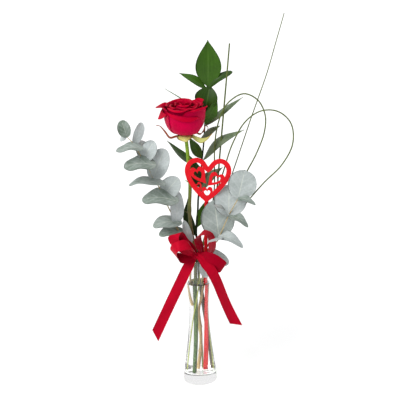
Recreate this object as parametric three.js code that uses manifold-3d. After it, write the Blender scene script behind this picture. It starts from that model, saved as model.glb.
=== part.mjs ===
// A single red rose in a clear glass bud vase, with a sprig of ruscus, two sprigs of
// silver-dollar eucalyptus, four blades of grass, a cut-out heart on a flat stick and a
// satin bow. Millimetres, +Z up, +X to the right, -Y towards the front.
// The origin is the centre of the vase's foot, on the surface it stands on.
import * as THREE from "three";
import { mergeVertices } from "three/addons/utils/BufferGeometryUtils.js";
import Module from "manifold-3d";

const wasm = await Module();
wasm.setup();

// ---- driving dimensions -------------------------------------------------------------

const GAP = 0.3; // clearance between pieces that touch

// vase: [outer radius, height] down the outside of the waisted glass
const VASE_OUTLINE = [
  [24.2, 2.4], [23.2, 12], [21.3, 28], [19.0, 45], [16.9, 62], [15.2, 80],
  [14.3, 98], [14.1, 112], [14.7, 128], [16.0, 144], [17.7, 162], [19.4, 180], [20.2, 187.6],
];
const VASE_WALL = 1.7;
const VASE_FLOOR = 15; // top of the thick glass base
const VASE_HEIGHT = 189;
const FOOT_RADIUS = 22.4; // flat ring the vase stands on
const VASE_SIDES = 24;
const WATER_LEVEL = 151;
const STEM_END = VASE_FLOOR + 2 * GAP; // cut stems stand on the glass floor

// leaves, petals and grass
const LEAF_THICKNESS = 0.8;
const PETAL_THICKNESS = 0.8;

// rose bloom, in its own frame, before it leans
const BLOOM_BASE = [-12.2, -3.3, 368.2];
const BLOOM_LEAN_FRONT = 10; // degrees
const BLOOM_LEAN_LEFT = 4;

// heart cut from sheet, on a flat stick
const HEART_THICKNESS = 1.5;
const HEART_TILT = 4; // degrees, top to the right
const HEART_POINT = [15.2, 275]; // x and z of its lowest point
const STICK_WIDTH = 4.8;
const STICK_THICKNESS = 1.8;
const STICK_TOP = [15.2, -12, 281];
const STICK_FOOT = [4.2, 2.7, STEM_END];

// satin ribbon
const RIBBON_WIDTH = 15;
const RIBBON_THICKNESS = 0.9;
const TIE_CENTRE = [3, -1.5];
const TIE_RADIUS = 13.8;
const TIE_BOTTOM = 191.5;
const TIE_HEIGHT = 8;

// ---- stem routes, from the cut end up ------------------------------------------------

const ROSE_ROUTE = [
  [-7.2, -10, STEM_END], [-4.6, -6.5, 60], [-3.4, -4.5, 107], [-3.6, -4.1, 150],
  [-2.6, -4.2, 185], [-2.6, -4.2, 200], [-7.1, -3.5, 226], [-9.5, -3, 257.6],
  [-7.8, -3, 297.5], [-9.3, -2.6, 334], [-11.2, -2.8, 358], [-11.7, -3.1, 364],
];
const RUSCUS_ROUTE = [
  [11.8, 5.6, STEM_END], [10.2, 4.6, 45], [7.6, 5, 75], [4.8, 7.4, 104], [3.6, 8.6, 120],
  [2.2, 9.2, 140], [1.2, 8.2, 160], [1.6, 4.8, 188], [1.4, 4.6, 200], [-0.8, 7, 219.4],
  [-0.2, 9, 233.7], [1.9, 11, 252.4], [3.3, 12, 272.9], [6.1, 13, 291.8], [9.8, 16, 327.6],
  [13.2, 18, 356.1], [15.3, 20, 384.5], [17.3, 21, 413], [20.5, 22, 432.7],
];
const EUCALYPTUS_LEFT_ROUTE = [
  [-6.2, 2, 116], [-9.6, 1, 135], [-11.2, 0.6, 152], [-9.8, 0.2, 172], [-7.8, -0.4, 190],
  [-8, -1.3, 199.5], [-17.5, -5.6, 217], [-27.6, -9, 236.4], [-34, -12, 257],
  [-40.5, -14, 273.4], [-50.7, -17, 300], [-58.7, -18, 313.5], [-64.9, -20, 331],
  [-71.5, -21, 341.4], [-79.1, -23, 358.1], [-82.9, -24, 365.7], [-92.1, -24, 375.9],
];
const EUCALYPTUS_RIGHT_ROUTE = [
  [-1.9, 7, STEM_END], [1.1, 6, 53], [1, 5.2, 84], [0, 3.8, 107], [3.2, 3, 132],
  [5.5, 2.4, 150], [7.6, 1.5, 166], [10.6, -0.6, 182], [12.6, -2.4, 191], [14.2, -3.6, 200],
  [20.5, -7, 207.5], [29.5, -12, 218.1], [34.5, -14, 230.7], [45.5, -18, 257.1],
  [58.6, -20, 281.7],
];
const GRASS_STRAIGHT_ROUTE = [
  [14.4, 2.2, STEM_END], [13, 1.5, 45], [11, 1.6, 75], [9.2, 3, 107], [8.6, 7.2, 150],
  [9.4, 7.4, 172], [9.6, 7, 196], [17, 7, 225], [26, 6.5, 262], [30.5, 6, 293.6],
  [34.4, 6, 334.6], [37.6, 6, 365], [41.1, 6, 408.3], [45.7, 6, 449], [51, 6, 496.3],
];
const GRASS_LONG_ROUTE = [
  [2.2, 9.5, STEM_END], [1.8, 11, 50], [0, 10.5, 75], [-2, 9, 104], [-2.8, 8.8, 130],
  [-3, 9.4, 155], [0, 9.6, 180], [4.4, 9.2, 197], [20, 11, 225], [36, 13.5, 262],
  [49.9, 15, 301.5], [60.2, 15, 331.6], [68.9, 15, 357.1], [79.7, 15, 388.7],
  [88.9, 15, 414.2], [102.4, 15, 452.8], [114.7, 15, 495], [126.1, 15, 534.3],
];
const GRASS_LOOP_SMALL_ROUTE = [
  [6.5, 0.5, 180], [7.2, 2.2, 197], [13.5, 2.2, 222], [21, 2.2, 255], [26, 2.5, 290],
  [26.8, 3, 319.6], [27.6, 3, 347.4], [30.2, 3, 370.8], [37.6, 3, 397], [49.5, 3, 415.3],
  [69.6, 3, 425.7], [88.5, 3, 416], [98.3, 3, 394.4], [96.9, 3, 370.2], [85.5, 3, 339.3],
  [72.3, 3, 314], [60, 3, 290], [44, 3, 262], [27, 2.8, 228], [14.4, 2.5, 204],
  [10.8, 2.4, 196], [9.6, 2.6, 182],
];
const GRASS_LOOP_LARGE_ROUTE = [
  [-14.2, 1, STEM_END], [-11.8, -2.5, 55], [-9.6, -5, 78], [-6.4, -7.4, 104],
  [-3.6, -8.8, 120], [-0.8, -8.2, 138], [1.4, -6.2, 152], [2.6, -4.4, 168],
  [3.8, -4.2, 184], [4.4, -5, 198], [11, -5.2, 222],
  [20.5, -3, 250], [31, -0.5, 290], [38.8, 0, 314], [52.6, 0, 355.4], [71.1, 0, 387],
  [92.4, 0, 401.3], [115.5, 0, 400.2], [133.3, 0, 383.2], [135.9, 0, 353.3],
  [120.3, 0, 322.5], [95.5, 0, 297.4], [66, 0.5, 263], [44, 1.5, 237], [26, 2.8, 217],
  [13.8, 3.9, 201], [12.6, 4.4, 193], [12.2, 4.8, 183],
];

// ---- leaves: where each leaves its stem, its tip, its width, the way it faces ---------

const RUSCUS_LEAVES = [
  { from: [20.5, 22, 431], to: [21.5, 28, 496.4], width: 33, face: [0.1, -1, 0.1], arch: 0.04 },
  { from: [17.6, 21.5, 424], to: [-16.4, 32, 449.6], width: 17, face: [0.2, -0.6, 0.8], arch: 0.1 },
  { from: [20, 22, 430], to: [54.1, 24, 451.3], width: 13, face: [-0.3, -0.7, 0.7], arch: 0.18 },
  { from: [19.6, 22, 429], to: [16.6, 19, 396.6], width: 31, face: [-0.6, -0.8, 0], arch: 0.06 },
  { from: [14.1, 19, 366], to: [31.8, 16, 412.6], width: 21, face: [0.2, -1, 0.1], arch: 0.08 },
  { from: [15.2, 20, 381.6], to: [67.6, 10, 418.4], width: 15, face: [-0.5, -0.5, 0.7], arch: -0.08 },
  { from: [15.6, 20.5, 388.9], to: [-41.7, 46, 420.6], width: 18, face: [0.1, -0.6, 0.8], arch: 0.04 },
  { from: [9.9, 15.8, 326.4], to: [69, 10, 371.6], width: 19, face: [-0.4, -0.9, 0.3], arch: -0.1 },
  { from: [12.9, 17.6, 353.5], to: [38.5, 9, 378.4], width: 13, face: [-0.2, -0.6, 0.8], arch: 0.08 },
  { from: [10.2, 16, 330.5], to: [-7.6, 8, 362.6], width: 20, face: [0.1, -1, 0.2], arch: 0.06 },
  { from: [8.8, 15.2, 319.1], to: [-38.3, 12, 357.8], width: 22, face: [0.3, -0.9, 0.3], arch: -0.08 },
  { from: [5.9, 13, 288.8], to: [-13.7, 8, 328.6], width: 21, face: [0.1, -1, 0.2], arch: 0.06 },
  { from: [3.5, 12, 274.4], to: [39.6, 9.4, 319.5], width: 24, face: [-0.1, -1, 0.2], arch: -0.04 },
  { from: [-0.3, 8.7, 229.4], to: [18.3, 8.6, 273.9], width: 16, face: [0.1, -1, 0.1], arch: -0.05 },
  { from: [-0.8, 7, 216.5], to: [-11.5, 9, 272.1], width: 17, face: [0.3, -1, 0.1], arch: -0.06 },
];
const EUCALYPTUS_LEFT_LEAVES = [
  { from: [-92.1, -24, 375.9], to: [-98.7, -24, 399.6], width: 19, face: [0.1, -1, 0.1], arch: 0.06 },
  { from: [-92.1, -24, 375.9], to: [-107.7, -15, 369.6], width: 15, face: [0.3, -0.7, 0.7], arch: 0.08 },
  { from: [-82.9, -24, 365.7], to: [-72.5, -18, 394.3], width: 14, face: [0.5, -0.8, 0], arch: 0.1 },
  { from: [-79.1, -23, 358.1], to: [-107.5, -22, 359.7], width: 18, face: [0, -0.7, 0.7], arch: 0.12 },
  { from: [-79.1, -23, 358.1], to: [-68.4, -36, 365.7], width: 14, face: [0, -0.4, 0.9], arch: 0.08 },
  { from: [-71.5, -21, 341.4], to: [-55.4, -24, 368.6], width: 23, face: [-0.3, -0.9, 0.1], arch: 0.08 },
  { from: [-71.5, -21, 341.4], to: [-74.4, -8, 366], width: 21, face: [0.5, -0.8, 0.3], arch: 0.08 },
  { from: [-64.9, -20, 331.6], to: [-97.2, -20, 336], width: 23, face: [0, -0.85, 0.5], arch: 0.12 },
  { from: [-64.9, -20, 331.6], to: [-52.7, -38, 341.2], width: 18, face: [0, -0.5, 0.85], arch: 0.1 },
  { from: [-58.7, -18, 312.6], to: [-41.5, -18, 355.6], width: 29, face: [-0.1, -1, 0], arch: 0.06 },
  { from: [-50.7, -17, 300], to: [-91.9, -18, 312.7], width: 22, face: [0, -0.25, 0.97], arch: 0.1 },
  { from: [-50.7, -17, 300], to: [-37.8, -38, 313.8], width: 20, face: [0, -0.3, 0.95], arch: 0.1 },
  { from: [-45.7, -15, 286.4], to: [-24, -20, 313.8], width: 28, face: [-0.2, -0.95, 0.2], arch: 0.06 },
  { from: [-40.5, -14, 273.4], to: [-74.5, -16, 284.5], width: 26, face: [0, -0.9, 0.45], arch: 0.1 },
  { from: [-40.5, -14, 273.4], to: [-20.6, -34, 285.9], width: 20, face: [0.2, -0.3, 0.9], arch: 0.08 },
  { from: [-29.4, -10, 242], to: [-18.4, -14, 292.7], width: 21, face: [0.3, -0.95, 0], arch: 0.08 },
  { from: [-30.8, -10.8, 246.5], to: [-63.7, -14, 245.1], width: 20, face: [0, -0.8, 0.6], arch: 0.1 },
  { from: [-22.3, -7.4, 226], to: [-53.1, -12, 229], width: 20, face: [0, -0.7, 0.7], arch: 0.08 },
  { from: [-13.5, -4, 208.5], to: [-17.5, -8.5, 247.2], width: 14, face: [0.2, -1, 0], arch: 0.06 },
];
// The lowest leaf hangs inside the vase, on a stalk that passes the stick.
const LOW_LEAF_STALK = [[13.8, -3.2, 194], [15.7, -6.5, 190.2], [14, -9.6, 187], [10.2, -10, 183]];
const EUCALYPTUS_RIGHT_LEAVES = [
  { from: [58.6, -20, 281.7], to: [67.3, -19, 322.4], width: 40, face: [0, -1, 0], arch: 0.05 },
  { from: [58.6, -20, 281.7], to: [81.7, -24, 272.1], width: 18, face: [0.3, -0.5, 0.8], arch: 0.1 },
  { from: [45.5, -18, 257.1], to: [49, -22, 296], width: 46, face: [0, -1, 0.1], arch: 0.05 },
  { from: [45.5, -18, 257.1], to: [71.6, -22, 243], width: 22, face: [0.2, -0.6, 0.75], arch: 0.1 },
  { from: [45.5, -18, 257.1], to: [25.5, -30, 272.9], width: 16, face: [0.3, -0.3, 0.9], arch: 0.08 },
  { from: [30.4, -13, 222], to: [29, -17, 272.5], width: 44, face: [-0.15, -1, 0], arch: 0.04 },
  { from: [31, -13, 222.5], to: [63.6, -18, 208.2], width: 22, face: [0, -0.6, 0.8], arch: 0.1 },
  {
    from: [31, -13, 222.5], via: [28.5, -29, 225], to: [15, -34, 223.5],
    width: 13, face: [0, 0.3, 0.95], arch: 0,
  },
  { from: [19, -6.2, 205.8], to: [45.2, -3, 181.7], width: 20, face: [0.1, -1, 0.3], arch: 0.08 },
  { from: [10.5, -10, 184], to: [5.5, -9, 162.5], width: 11, face: [-0.1, 1, 0], arch: 0 },
];

// ---- ribbon: middle lines from the knot, and the direction across the ribbon ----------

const KNOT = [-2.6, -17.5, 196.8];
const BOW_LOOPS = [
  {
    // upper left, curling over at its top
    route: [
      [-4, -17.5, 198], [-14, -19, 213], [-26, -19, 229], [-33, -23, 233.5], [-36, -28, 228],
      [-31, -29.5, 219], [-18, -25, 207.5], [-5, -20.5, 198],
    ],
    across: [
      [0.7, 0, -0.7], [0.75, 0, -0.65], [0.8, -0.1, -0.6], [0.95, -0.1, -0.2],
      [1, 0, 0.1], [0.9, 0, -0.3], [0.7, 0, -0.7], [0.6, 0, -0.8],
    ],
  },
  {
    // lower left, seen into from below
    route: [
      [-4.5, -20.5, 196.5], [-14, -29, 204], [-26, -32.5, 210.5], [-33.5, -31, 206],
      [-33, -26.5, 199], [-23, -23.5, 193.5], [-12, -21, 194], [-4.5, -18.5, 195.5],
    ],
    across: [
      [0.2, 0, -1], [0.3, 0.2, -0.9], [0.3, 0.4, -0.85], [0.2, 0.7, -0.7],
      [0.1, 0.6, -0.8], [0, 0.5, -0.85], [0, 0.3, -0.95], [0.1, 0, -1],
    ],
  },
  {
    // upright right
    route: [
      [1, -19, 199.5], [4.5, -22.5, 207], [2.5, -23.5, 219], [4.5, -23.5, 229.5],
      [12, -23, 234], [18.5, -23, 228], [19.8, -23, 216], [17, -21.5, 206], [9, -20, 199.5],
    ],
    across: [
      [0.3, 0.2, -0.9], [0.6, 0.8, 0], [0.35, 0.9, 0.3], [0.3, 0.85, 0.45], [0.3, 0.8, 0.5],
      [0.6, 0.75, 0.3], [0.5, 0.85, 0.1], [0.5, 0.85, 0], [0.3, 0.3, -0.9],
    ],
  },
  {
    // lower right
    route: [
      [1.5, -19.5, 197.5], [12, -25.5, 197], [25, -28, 190.5], [34, -26.5, 184],
      [36, -23, 182.5], [31, -20.5, 184], [16, -19.5, 193], [2, -18.5, 196.5],
    ],
    across: [
      [0.1, 0, -1], [-0.2, 0, -0.97], [-0.45, -0.05, -0.87], [-0.5, 0.1, -0.86],
      [-0.5, 0.2, -0.86], [-0.45, 0.1, -0.87], [-0.3, 0, -0.95], [0, 0, -1],
    ],
  },
];
const TAILS = [
  {
    // left
    route: [
      [-3.5, -18.5, 195.5], [-9.5, -22, 190], [-19, -23.5, 169], [-40.5, -23, 127],
      [-63.3, -20, 78.2],
    ],
    across: [[0.7, 0, 0.6], [0.9, 0.1, 0.3], [0.9, 0, 0.42], [0.9, 0, 0.42], [0.45, 0, 0.9]],
  },
  {
    // right
    route: [
      [-0.5, -21, 198.5], [8, -25.5, 191.5], [15.5, -28, 182], [23, -28.5, 170], [30, -27, 152],
      [37.5, -25, 128], [52.5, -22, 92.7],
    ],
    across: [
      [0.8, 0, 0.6], [0.8, -0.1, 0.6], [0.8, -0.1, 0.6], [0.87, 0, 0.5], [0.93, 0, 0.35],
      [0.93, 0, 0.35], [0.95, 0, -0.3],
    ],
  },
];

// ---- solids --------------------------------------------------------------------------

const vector = (p) => new THREE.Vector3(p[0], p[1], p[2]);

// A closed indexed mesh becomes a solid that can be joined and cut.
function toSolid(geometry) {
  const bare = geometry.clone();
  bare.deleteAttribute("normal");
  bare.deleteAttribute("uv");
  const merged = mergeVertices(bare, 1e-4);
  const vertProperties = new Float32Array(merged.attributes.position.array);
  const triVerts = new Uint32Array(merged.index.array);
  const solid = new wasm.Manifold(new wasm.Mesh({ numProp: 3, vertProperties, triVerts }));
  if (solid.volume() >= 0) return solid;
  for (let i = 0; i < triVerts.length; i += 3) {
    [triVerts[i + 1], triVerts[i + 2]] = [triVerts[i + 2], triVerts[i + 1]];
  }
  return new wasm.Manifold(new wasm.Mesh({ numProp: 3, vertProperties, triVerts }));
}

const join = (geometries) => geometries.map(toSolid).reduce((all, next) => all.add(next));

// Pockets closed in on all sides are filled, so that what is left is one solid body.
function withoutPockets(solid) {
  const bodies = solid.decompose().filter((body) => body.volume() > 0);
  return bodies.reduce((all, next) => all.add(next));
}

function toGeometry(solid) {
  const mesh = withoutPockets(solid).getMesh();
  const geometry = new THREE.BufferGeometry();
  geometry.setAttribute("position", new THREE.BufferAttribute(mesh.vertProperties, 3));
  geometry.setIndex(new THREE.BufferAttribute(mesh.triVerts, 1));
  geometry.computeVertexNormals();
  return geometry;
}

// A thin closed sheet over a grid of points, thickened evenly to both sides.
function sheet(rows, columns, pointAt, thickness) {
  const grid = [];
  for (let i = 0; i <= rows; i++) {
    grid.push([]);
    for (let j = 0; j <= columns; j++) grid[i].push(pointAt(i / rows, j / columns));
  }
  const position = [];
  const side = (sign) => {
    for (let i = 0; i <= rows; i++) {
      for (let j = 0; j <= columns; j++) {
        const along = grid[Math.min(i + 1, rows)][j].clone().sub(grid[Math.max(i - 1, 0)][j]);
        const across = grid[i][Math.min(j + 1, columns)].clone().sub(grid[i][Math.max(j - 1, 0)]);
        const normal = along.cross(across).normalize();
        position.push(...grid[i][j].clone().addScaledVector(normal, (sign * thickness) / 2));
      }
    }
  };
  side(1);
  side(-1);
  const stride = columns + 1;
  const under = (rows + 1) * stride;
  const index = [];
  const quad = (a, b, c, d) => index.push(a, b, c, a, c, d);
  for (let i = 0; i < rows; i++) {
    for (let j = 0; j < columns; j++) {
      const a = i * stride + j;
      index.push(a, a + stride, a + 1, a + 1, a + stride, a + stride + 1);
      const b = a + under;
      index.push(b, b + 1, b + stride, b + 1, b + stride + 1, b + stride);
    }
    const left = i * stride;
    const right = left + columns;
    quad(left, left + under, left + stride + under, left + stride);
    quad(right, right + stride, right + stride + under, right + under);
  }
  for (let j = 0; j < columns; j++) {
    const last = rows * stride + j;
    quad(j, j + 1, j + 1 + under, j + under);
    quad(last, last + under, last + 1 + under, last + 1);
  }
  const geometry = new THREE.BufferGeometry();
  geometry.setAttribute("position", new THREE.Float32BufferAttribute(position, 3));
  geometry.setIndex(index);
  return geometry;
}

// A round stem along a route; its radius runs from the first value to the second.
function stem(route, radii, sides, steps) {
  const curve = new THREE.CatmullRomCurve3(route.map(vector), false, "centripetal");
  const ring = [];
  for (let i = 0; i < sides; i++) {
    const angle = (i / sides) * 2 * Math.PI;
    ring.push(new THREE.Vector2(radii[0] * Math.cos(angle), radii[0] * Math.sin(angle)));
  }
  const geometry = new THREE.ExtrudeGeometry(new THREE.Shape(ring), {
    steps,
    extrudePath: curve,
  });
  const centres = curve.getSpacedPoints(steps);
  const position = geometry.attributes.position;
  const point = new THREE.Vector3();
  for (let i = 0; i < position.count; i++) {
    point.fromBufferAttribute(position, i);
    let nearest = 0;
    for (let k = 1; k <= steps; k++) {
      const closer = point.distanceToSquared(centres[k]) < point.distanceToSquared(centres[nearest]);
      if (closer) nearest = k;
    }
    const radius = THREE.MathUtils.lerp(radii[0], radii[1], nearest / steps);
    point.sub(centres[nearest]).multiplyScalar(radius / radii[0]).add(centres[nearest]);
    position.setXYZ(i, point.x, point.y, point.z);
  }
  return geometry;
}

// A strip along a route: its width follows widthAt(0..1), and its edges rise by cup.
function strip({ route, across, widthAt, cup = 0, thickness, rows, columns, stationAt = (s) => s }) {
  const middle = new THREE.CatmullRomCurve3(route.map(vector), false, "centripetal");
  const sideways = new THREE.CatmullRomCurve3(across.map(vector));
  return sheet(rows, columns, (u, v) => {
    const s = stationAt(u);
    const t = middle.getUtoTmapping(s);
    const tangent = middle.getTangent(t);
    const out = sideways.getPoint(t).normalize();
    const face = out.clone().cross(tangent).normalize();
    const reach = (v - 0.5) * widthAt(s);
    return middle.getPoint(t)
      .addScaledVector(out, reach)
      .addScaledVector(face, cup * Math.abs(reach));
  }, thickness);
}

// One leaf: a short stalk, then a blade arched along its length and folded at the rib.
function leaf({ from, via, to, width, face, arch }, halfOutline, fold, rows, stationAt) {
  const base = vector(from);
  const tip = vector(to);
  const length = base.distanceTo(tip);
  const towards = tip.clone().sub(base).normalize();
  const out = towards.clone().cross(vector(face)).normalize();
  const up = out.clone().cross(towards).normalize();
  const arched = base.clone().lerp(tip, 0.5).addScaledVector(up, arch * length);
  const middle = via ? vector(via) : arched;
  return strip({
    route: [from, middle.toArray(), to],
    across: [out.toArray(), out.toArray()],
    widthAt: (s) => Math.max(1.4, width * halfOutline(s)),
    cup: fold,
    thickness: LEAF_THICKNESS,
    rows,
    columns: 2,
    stationAt,
  });
}

const pointedOutline = (s) => Math.sin(Math.PI * s ** 0.85) ** 1.1;
const roundOutline = (s) => Math.sqrt(Math.max(0, 1 - (2 * s - 1) ** 2)) ** 0.95;
const crowdedAtEnds = (s) => (1 - Math.cos(Math.PI * s)) / 2;

const ruscusLeaf = (spec) => leaf(spec, pointedOutline, 0.22, 5, (s) => s);
const eucalyptusLeaf = (spec) => leaf(spec, roundOutline, 0.12, 5, crowdedAtEnds);

function node(name, geometry, colour, roughness, metalness = 0) {
  const material = new THREE.MeshStandardMaterial({ color: colour, roughness, metalness });
  const mesh = new THREE.Mesh(geometry, material);
  mesh.name = name;
  return mesh;
}

// ---- vase and water -------------------------------------------------------------------

const vaseCurve = new THREE.SplineCurve(VASE_OUTLINE.map(([r, z]) => new THREE.Vector2(r, z)));

// Outer radius of the glass at a height.
function vaseRadius(height) {
  let low = 0;
  let high = 1;
  for (let i = 0; i < 24; i++) {
    const middle = (low + high) / 2;
    if (vaseCurve.getPoint(middle).y < height) low = middle;
    else high = middle;
  }
  return vaseCurve.getPoint(low).x;
}

const turned = (profile, sides) => new THREE.LatheGeometry(profile, sides).rotateX(Math.PI / 2);

function vaseGeometry() {
  const outside = [];
  const inside = [];
  const steps = 8;
  for (let i = 0; i <= steps; i++) {
    const z = THREE.MathUtils.lerp(VASE_OUTLINE[0][1], VASE_OUTLINE.at(-1)[1], i / steps);
    outside.push(new THREE.Vector2(vaseRadius(z), z));
  }
  for (let i = steps; i >= 0; i--) {
    const z = THREE.MathUtils.lerp(VASE_FLOOR + 2, VASE_HEIGHT - 1.5, i / steps);
    inside.push(new THREE.Vector2(vaseRadius(z) - VASE_WALL, z));
  }
  const rim = VASE_OUTLINE.at(-1)[0] - VASE_WALL / 2;
  const profile = [
    new THREE.Vector2(0, 0),
    new THREE.Vector2(FOOT_RADIUS, 0),
    new THREE.Vector2(FOOT_RADIUS + 1.3, 0.7),
    ...outside,
    new THREE.Vector2(rim + 0.4, VASE_HEIGHT),
    new THREE.Vector2(rim - 0.4, VASE_HEIGHT),
    ...inside,
    new THREE.Vector2(vaseRadius(VASE_FLOOR) - VASE_WALL - 2, VASE_FLOOR),
    new THREE.Vector2(0, VASE_FLOOR),
  ];
  return turned(profile, VASE_SIDES);
}

function waterGeometry() {
  const inner = (z) => vaseRadius(z) - VASE_WALL - GAP;
  const steps = 6;
  const wall = [];
  for (let i = 0; i <= steps; i++) {
    const z = THREE.MathUtils.lerp(VASE_FLOOR + 2.6, WATER_LEVEL, i / steps);
    wall.push(new THREE.Vector2(inner(z), z));
  }
  const profile = [
    new THREE.Vector2(0, VASE_FLOOR + GAP),
    new THREE.Vector2(inner(VASE_FLOOR) - 2.4, VASE_FLOOR + GAP),
    ...wall,
    new THREE.Vector2(0, WATER_LEVEL),
  ];
  return turned(profile, VASE_SIDES);
}

// ---- stems, leaves and grass ------------------------------------------------------------

// Each stem: its route, radius at both ends, sides and steps.
const GRASS_RADII = [0.8, 0.64];
const ROSE_STEM = [ROSE_ROUTE, [2.6, 2.5], 8, 24];
const RUSCUS_STEM = [RUSCUS_ROUTE, [1.8, 1.1], 6, 28];
const EUCALYPTUS_LEFT_STEM = [EUCALYPTUS_LEFT_ROUTE, [1.8, 0.9], 6, 22];
const EUCALYPTUS_RIGHT_STEM = [EUCALYPTUS_RIGHT_ROUTE, [1.8, 0.9], 6, 24];
const LOW_LEAF_STEM = [LOW_LEAF_STALK, [0.9, 0.7], 5, 5];
const GRASS_STRAIGHT = [GRASS_STRAIGHT_ROUTE, GRASS_RADII, 5, 22];
const GRASS_LONG = [GRASS_LONG_ROUTE, GRASS_RADII, 5, 24];
const GRASS_LOOP_SMALL = [GRASS_LOOP_SMALL_ROUTE, GRASS_RADII, 5, 34];
const GRASS_LOOP_LARGE = [GRASS_LOOP_LARGE_ROUTE, GRASS_RADII, 5, 46];
const WET_STEMS = [
  ROSE_STEM, RUSCUS_STEM, EUCALYPTUS_LEFT_STEM, EUCALYPTUS_RIGHT_STEM,
  GRASS_STRAIGHT, GRASS_LONG, GRASS_LOOP_LARGE,
];

function calyx() {
  const profile = [
    [0, -8], [2.7, -6], [4.6, -3], [5.2, 0], [4.4, 1.8], [0, 2.4],
  ].map(([r, z]) => new THREE.Vector2(r, z));
  return turned(profile, 10).translate(...ROSE_ROUTE.at(-1)).translate(0, 0, 1.4);
}

const SEPALS = [
  {
    route: [[-14, -5, 366], [-20, -8, 367.8], [-33, -12, 370], [-40, -13, 381], [-51.5, -15, 389]],
    across: [[0, -1, 0.2], [0.1, -1, 0.2], [0.5, -0.8, 0.3]],
    width: 5,
  },
  {
    route: [[-12, -6, 366], [-13, -15, 367.3], [-13.5, -24, 365.4]],
    across: [[1, 0, 0], [1, 0, 0.1]],
    width: 11,
  },
  {
    route: [[-9, -5, 366], [-0.6, -10, 366.4], [8, -13, 363.6], [17, -14, 366], [24.3, -15, 375]],
    across: [[0, -0.8, -0.6], [0, -0.6, -0.8], [0.3, -0.7, -0.6]],
    width: 8,
  },
  {
    route: [[-8, 0, 366], [2.5, 3.6, 367.8], [10.5, 5, 370.5], [15, 5, 378], [18.6, 6, 376]],
    across: [[0, -0.9, 0.3], [0, -1, 0.3], [0, -1, 0.3]],
    width: 3.6,
  },
  {
    route: [[-13, 0, 366], [-18, 8, 367], [-23, 16, 362.5]],
    across: [[0.8, 0.5, 0], [0.8, 0.5, 0.1]],
    width: 8,
  },
];

function sepal({ route, across, width }) {
  return strip({
    route,
    across,
    widthAt: (s) => Math.max(1.2, width * Math.sin(Math.PI * (0.25 + 0.75 * s)) ** 0.8),
    cup: 0.2,
    thickness: LEAF_THICKNESS,
    rows: 5,
    columns: 2,
  });
}

// A spike that narrows from a root on the stem to a point.
const spike = (root, point, radius) => stem([root, point], [radius, 0.35], 6, 2);

function roseStemGeometry() {
  return toGeometry(join([
    stem(...ROSE_STEM),
    calyx(),
    ...SEPALS.map(sepal),
    spike([-8, -3, 301], [-14.6, -3.6, 305.5], 1.6),
    spike([-9, -3, 256.5], [-17.6, -2.4, 259.4], 1.3),
  ]));
}

// A point on a petal that wraps the bloom. "spread" is how far it reaches round, to each
// side; its profile gives radius and height from root to rim.
function petalPoint({ turn, spread, profile, point }, u, v) {
  const side = 2 * v - 1;
  const drop = 0.16 * Math.abs(side) ** 2.6;
  const at = profile.getPoint(Math.max(0, u * (1 - drop)));
  const tip = point * u ** 6 * Math.exp(-((side / 0.28) ** 2));
  const radius = at.x * (1 + 0.05 * side) + tip;
  const angle = turn + side * spread * (0.55 + 0.45 * Math.sin((Math.PI / 2) * Math.min(1, 1.6 * u)));
  return new THREE.Vector3(radius * Math.cos(angle), radius * Math.sin(angle), at.y - 0.25 * tip);
}

// Rings of petals, from the outside in.
const PETAL_RINGS = [
  {
    count: 5, first: 95, spread: 52, point: 4, rows: 5, columns: 6,
    outline: [[3.5, 1], [14, 3.2], [22, 10.5], [26, 21], [26.6, 31], [28, 36.6], [31, 37.6], [32.4, 34.6]],
  },
  {
    count: 5, first: 58, spread: 48, point: 1.5, rows: 3, columns: 4,
    outline: [[4, 3], [13, 6], [19.5, 14], [22.5, 27], [24, 37], [27, 40]],
  },
  {
    count: 5, first: 20, spread: 48, point: 0, rows: 2, columns: 3,
    outline: [[6, 8], [14, 16], [17.4, 28], [18.6, 38], [20.4, 42]],
  },
  {
    count: 4, first: 70, spread: 58, point: 0, rows: 2, columns: 3,
    outline: [[6, 14], [11, 24], [12.6, 36], [14, 43.6]],
  },
  {
    count: 3, first: 10, spread: 74, point: 0, rows: 2, columns: 3,
    outline: [[4, 20], [7, 32], [8.2, 44.6]],
  },
  {
    count: 2, first: 100, spread: 100, point: 0, rows: 1, columns: 5,
    outline: [[2.6, 26], [3.6, 36], [4, 44]],
  },
];
const BLOOM_CORE = [[0, 0.6], [13, 2.6], [19, 8], [20, 16], [14, 29], [7, 33], [0, 34]];

function bloomGeometry() {
  const petals = [];
  for (const ring of PETAL_RINGS) {
    const profile = new THREE.SplineCurve(ring.outline.map(([r, z]) => new THREE.Vector2(r, z)));
    for (let k = 0; k < ring.count; k++) {
      const petal = {
        turn: THREE.MathUtils.degToRad(ring.first + (k * 360) / ring.count),
        spread: THREE.MathUtils.degToRad(ring.spread),
        point: ring.point,
        profile,
      };
      const at = (u, v) => petalPoint(petal, u, v);
      petals.push(sheet(ring.rows, ring.columns, at, PETAL_THICKNESS));
    }
  }
  const core = turned(BLOOM_CORE.map(([r, z]) => new THREE.Vector2(r, z)), 10);
  const bloom = toGeometry(join([core, ...petals]));
  bloom.rotateX(THREE.MathUtils.degToRad(BLOOM_LEAN_FRONT));
  bloom.rotateY(THREE.MathUtils.degToRad(-BLOOM_LEAN_LEFT));
  return bloom.translate(...BLOOM_BASE);
}

function ruscusGeometry() {
  return toGeometry(join([
    stem(...RUSCUS_STEM),
    ...RUSCUS_LEAVES.map(ruscusLeaf),
  ]));
}

function eucalyptusGeometry(stems, leaves) {
  return toGeometry(join([
    ...stems.map((stalk) => stem(...stalk)),
    ...leaves.map(eucalyptusLeaf),
  ]));
}

const grassGeometry = (blade) => toGeometry(toSolid(stem(...blade)));

// ---- heart on its stick ------------------------------------------------------------------

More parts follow.
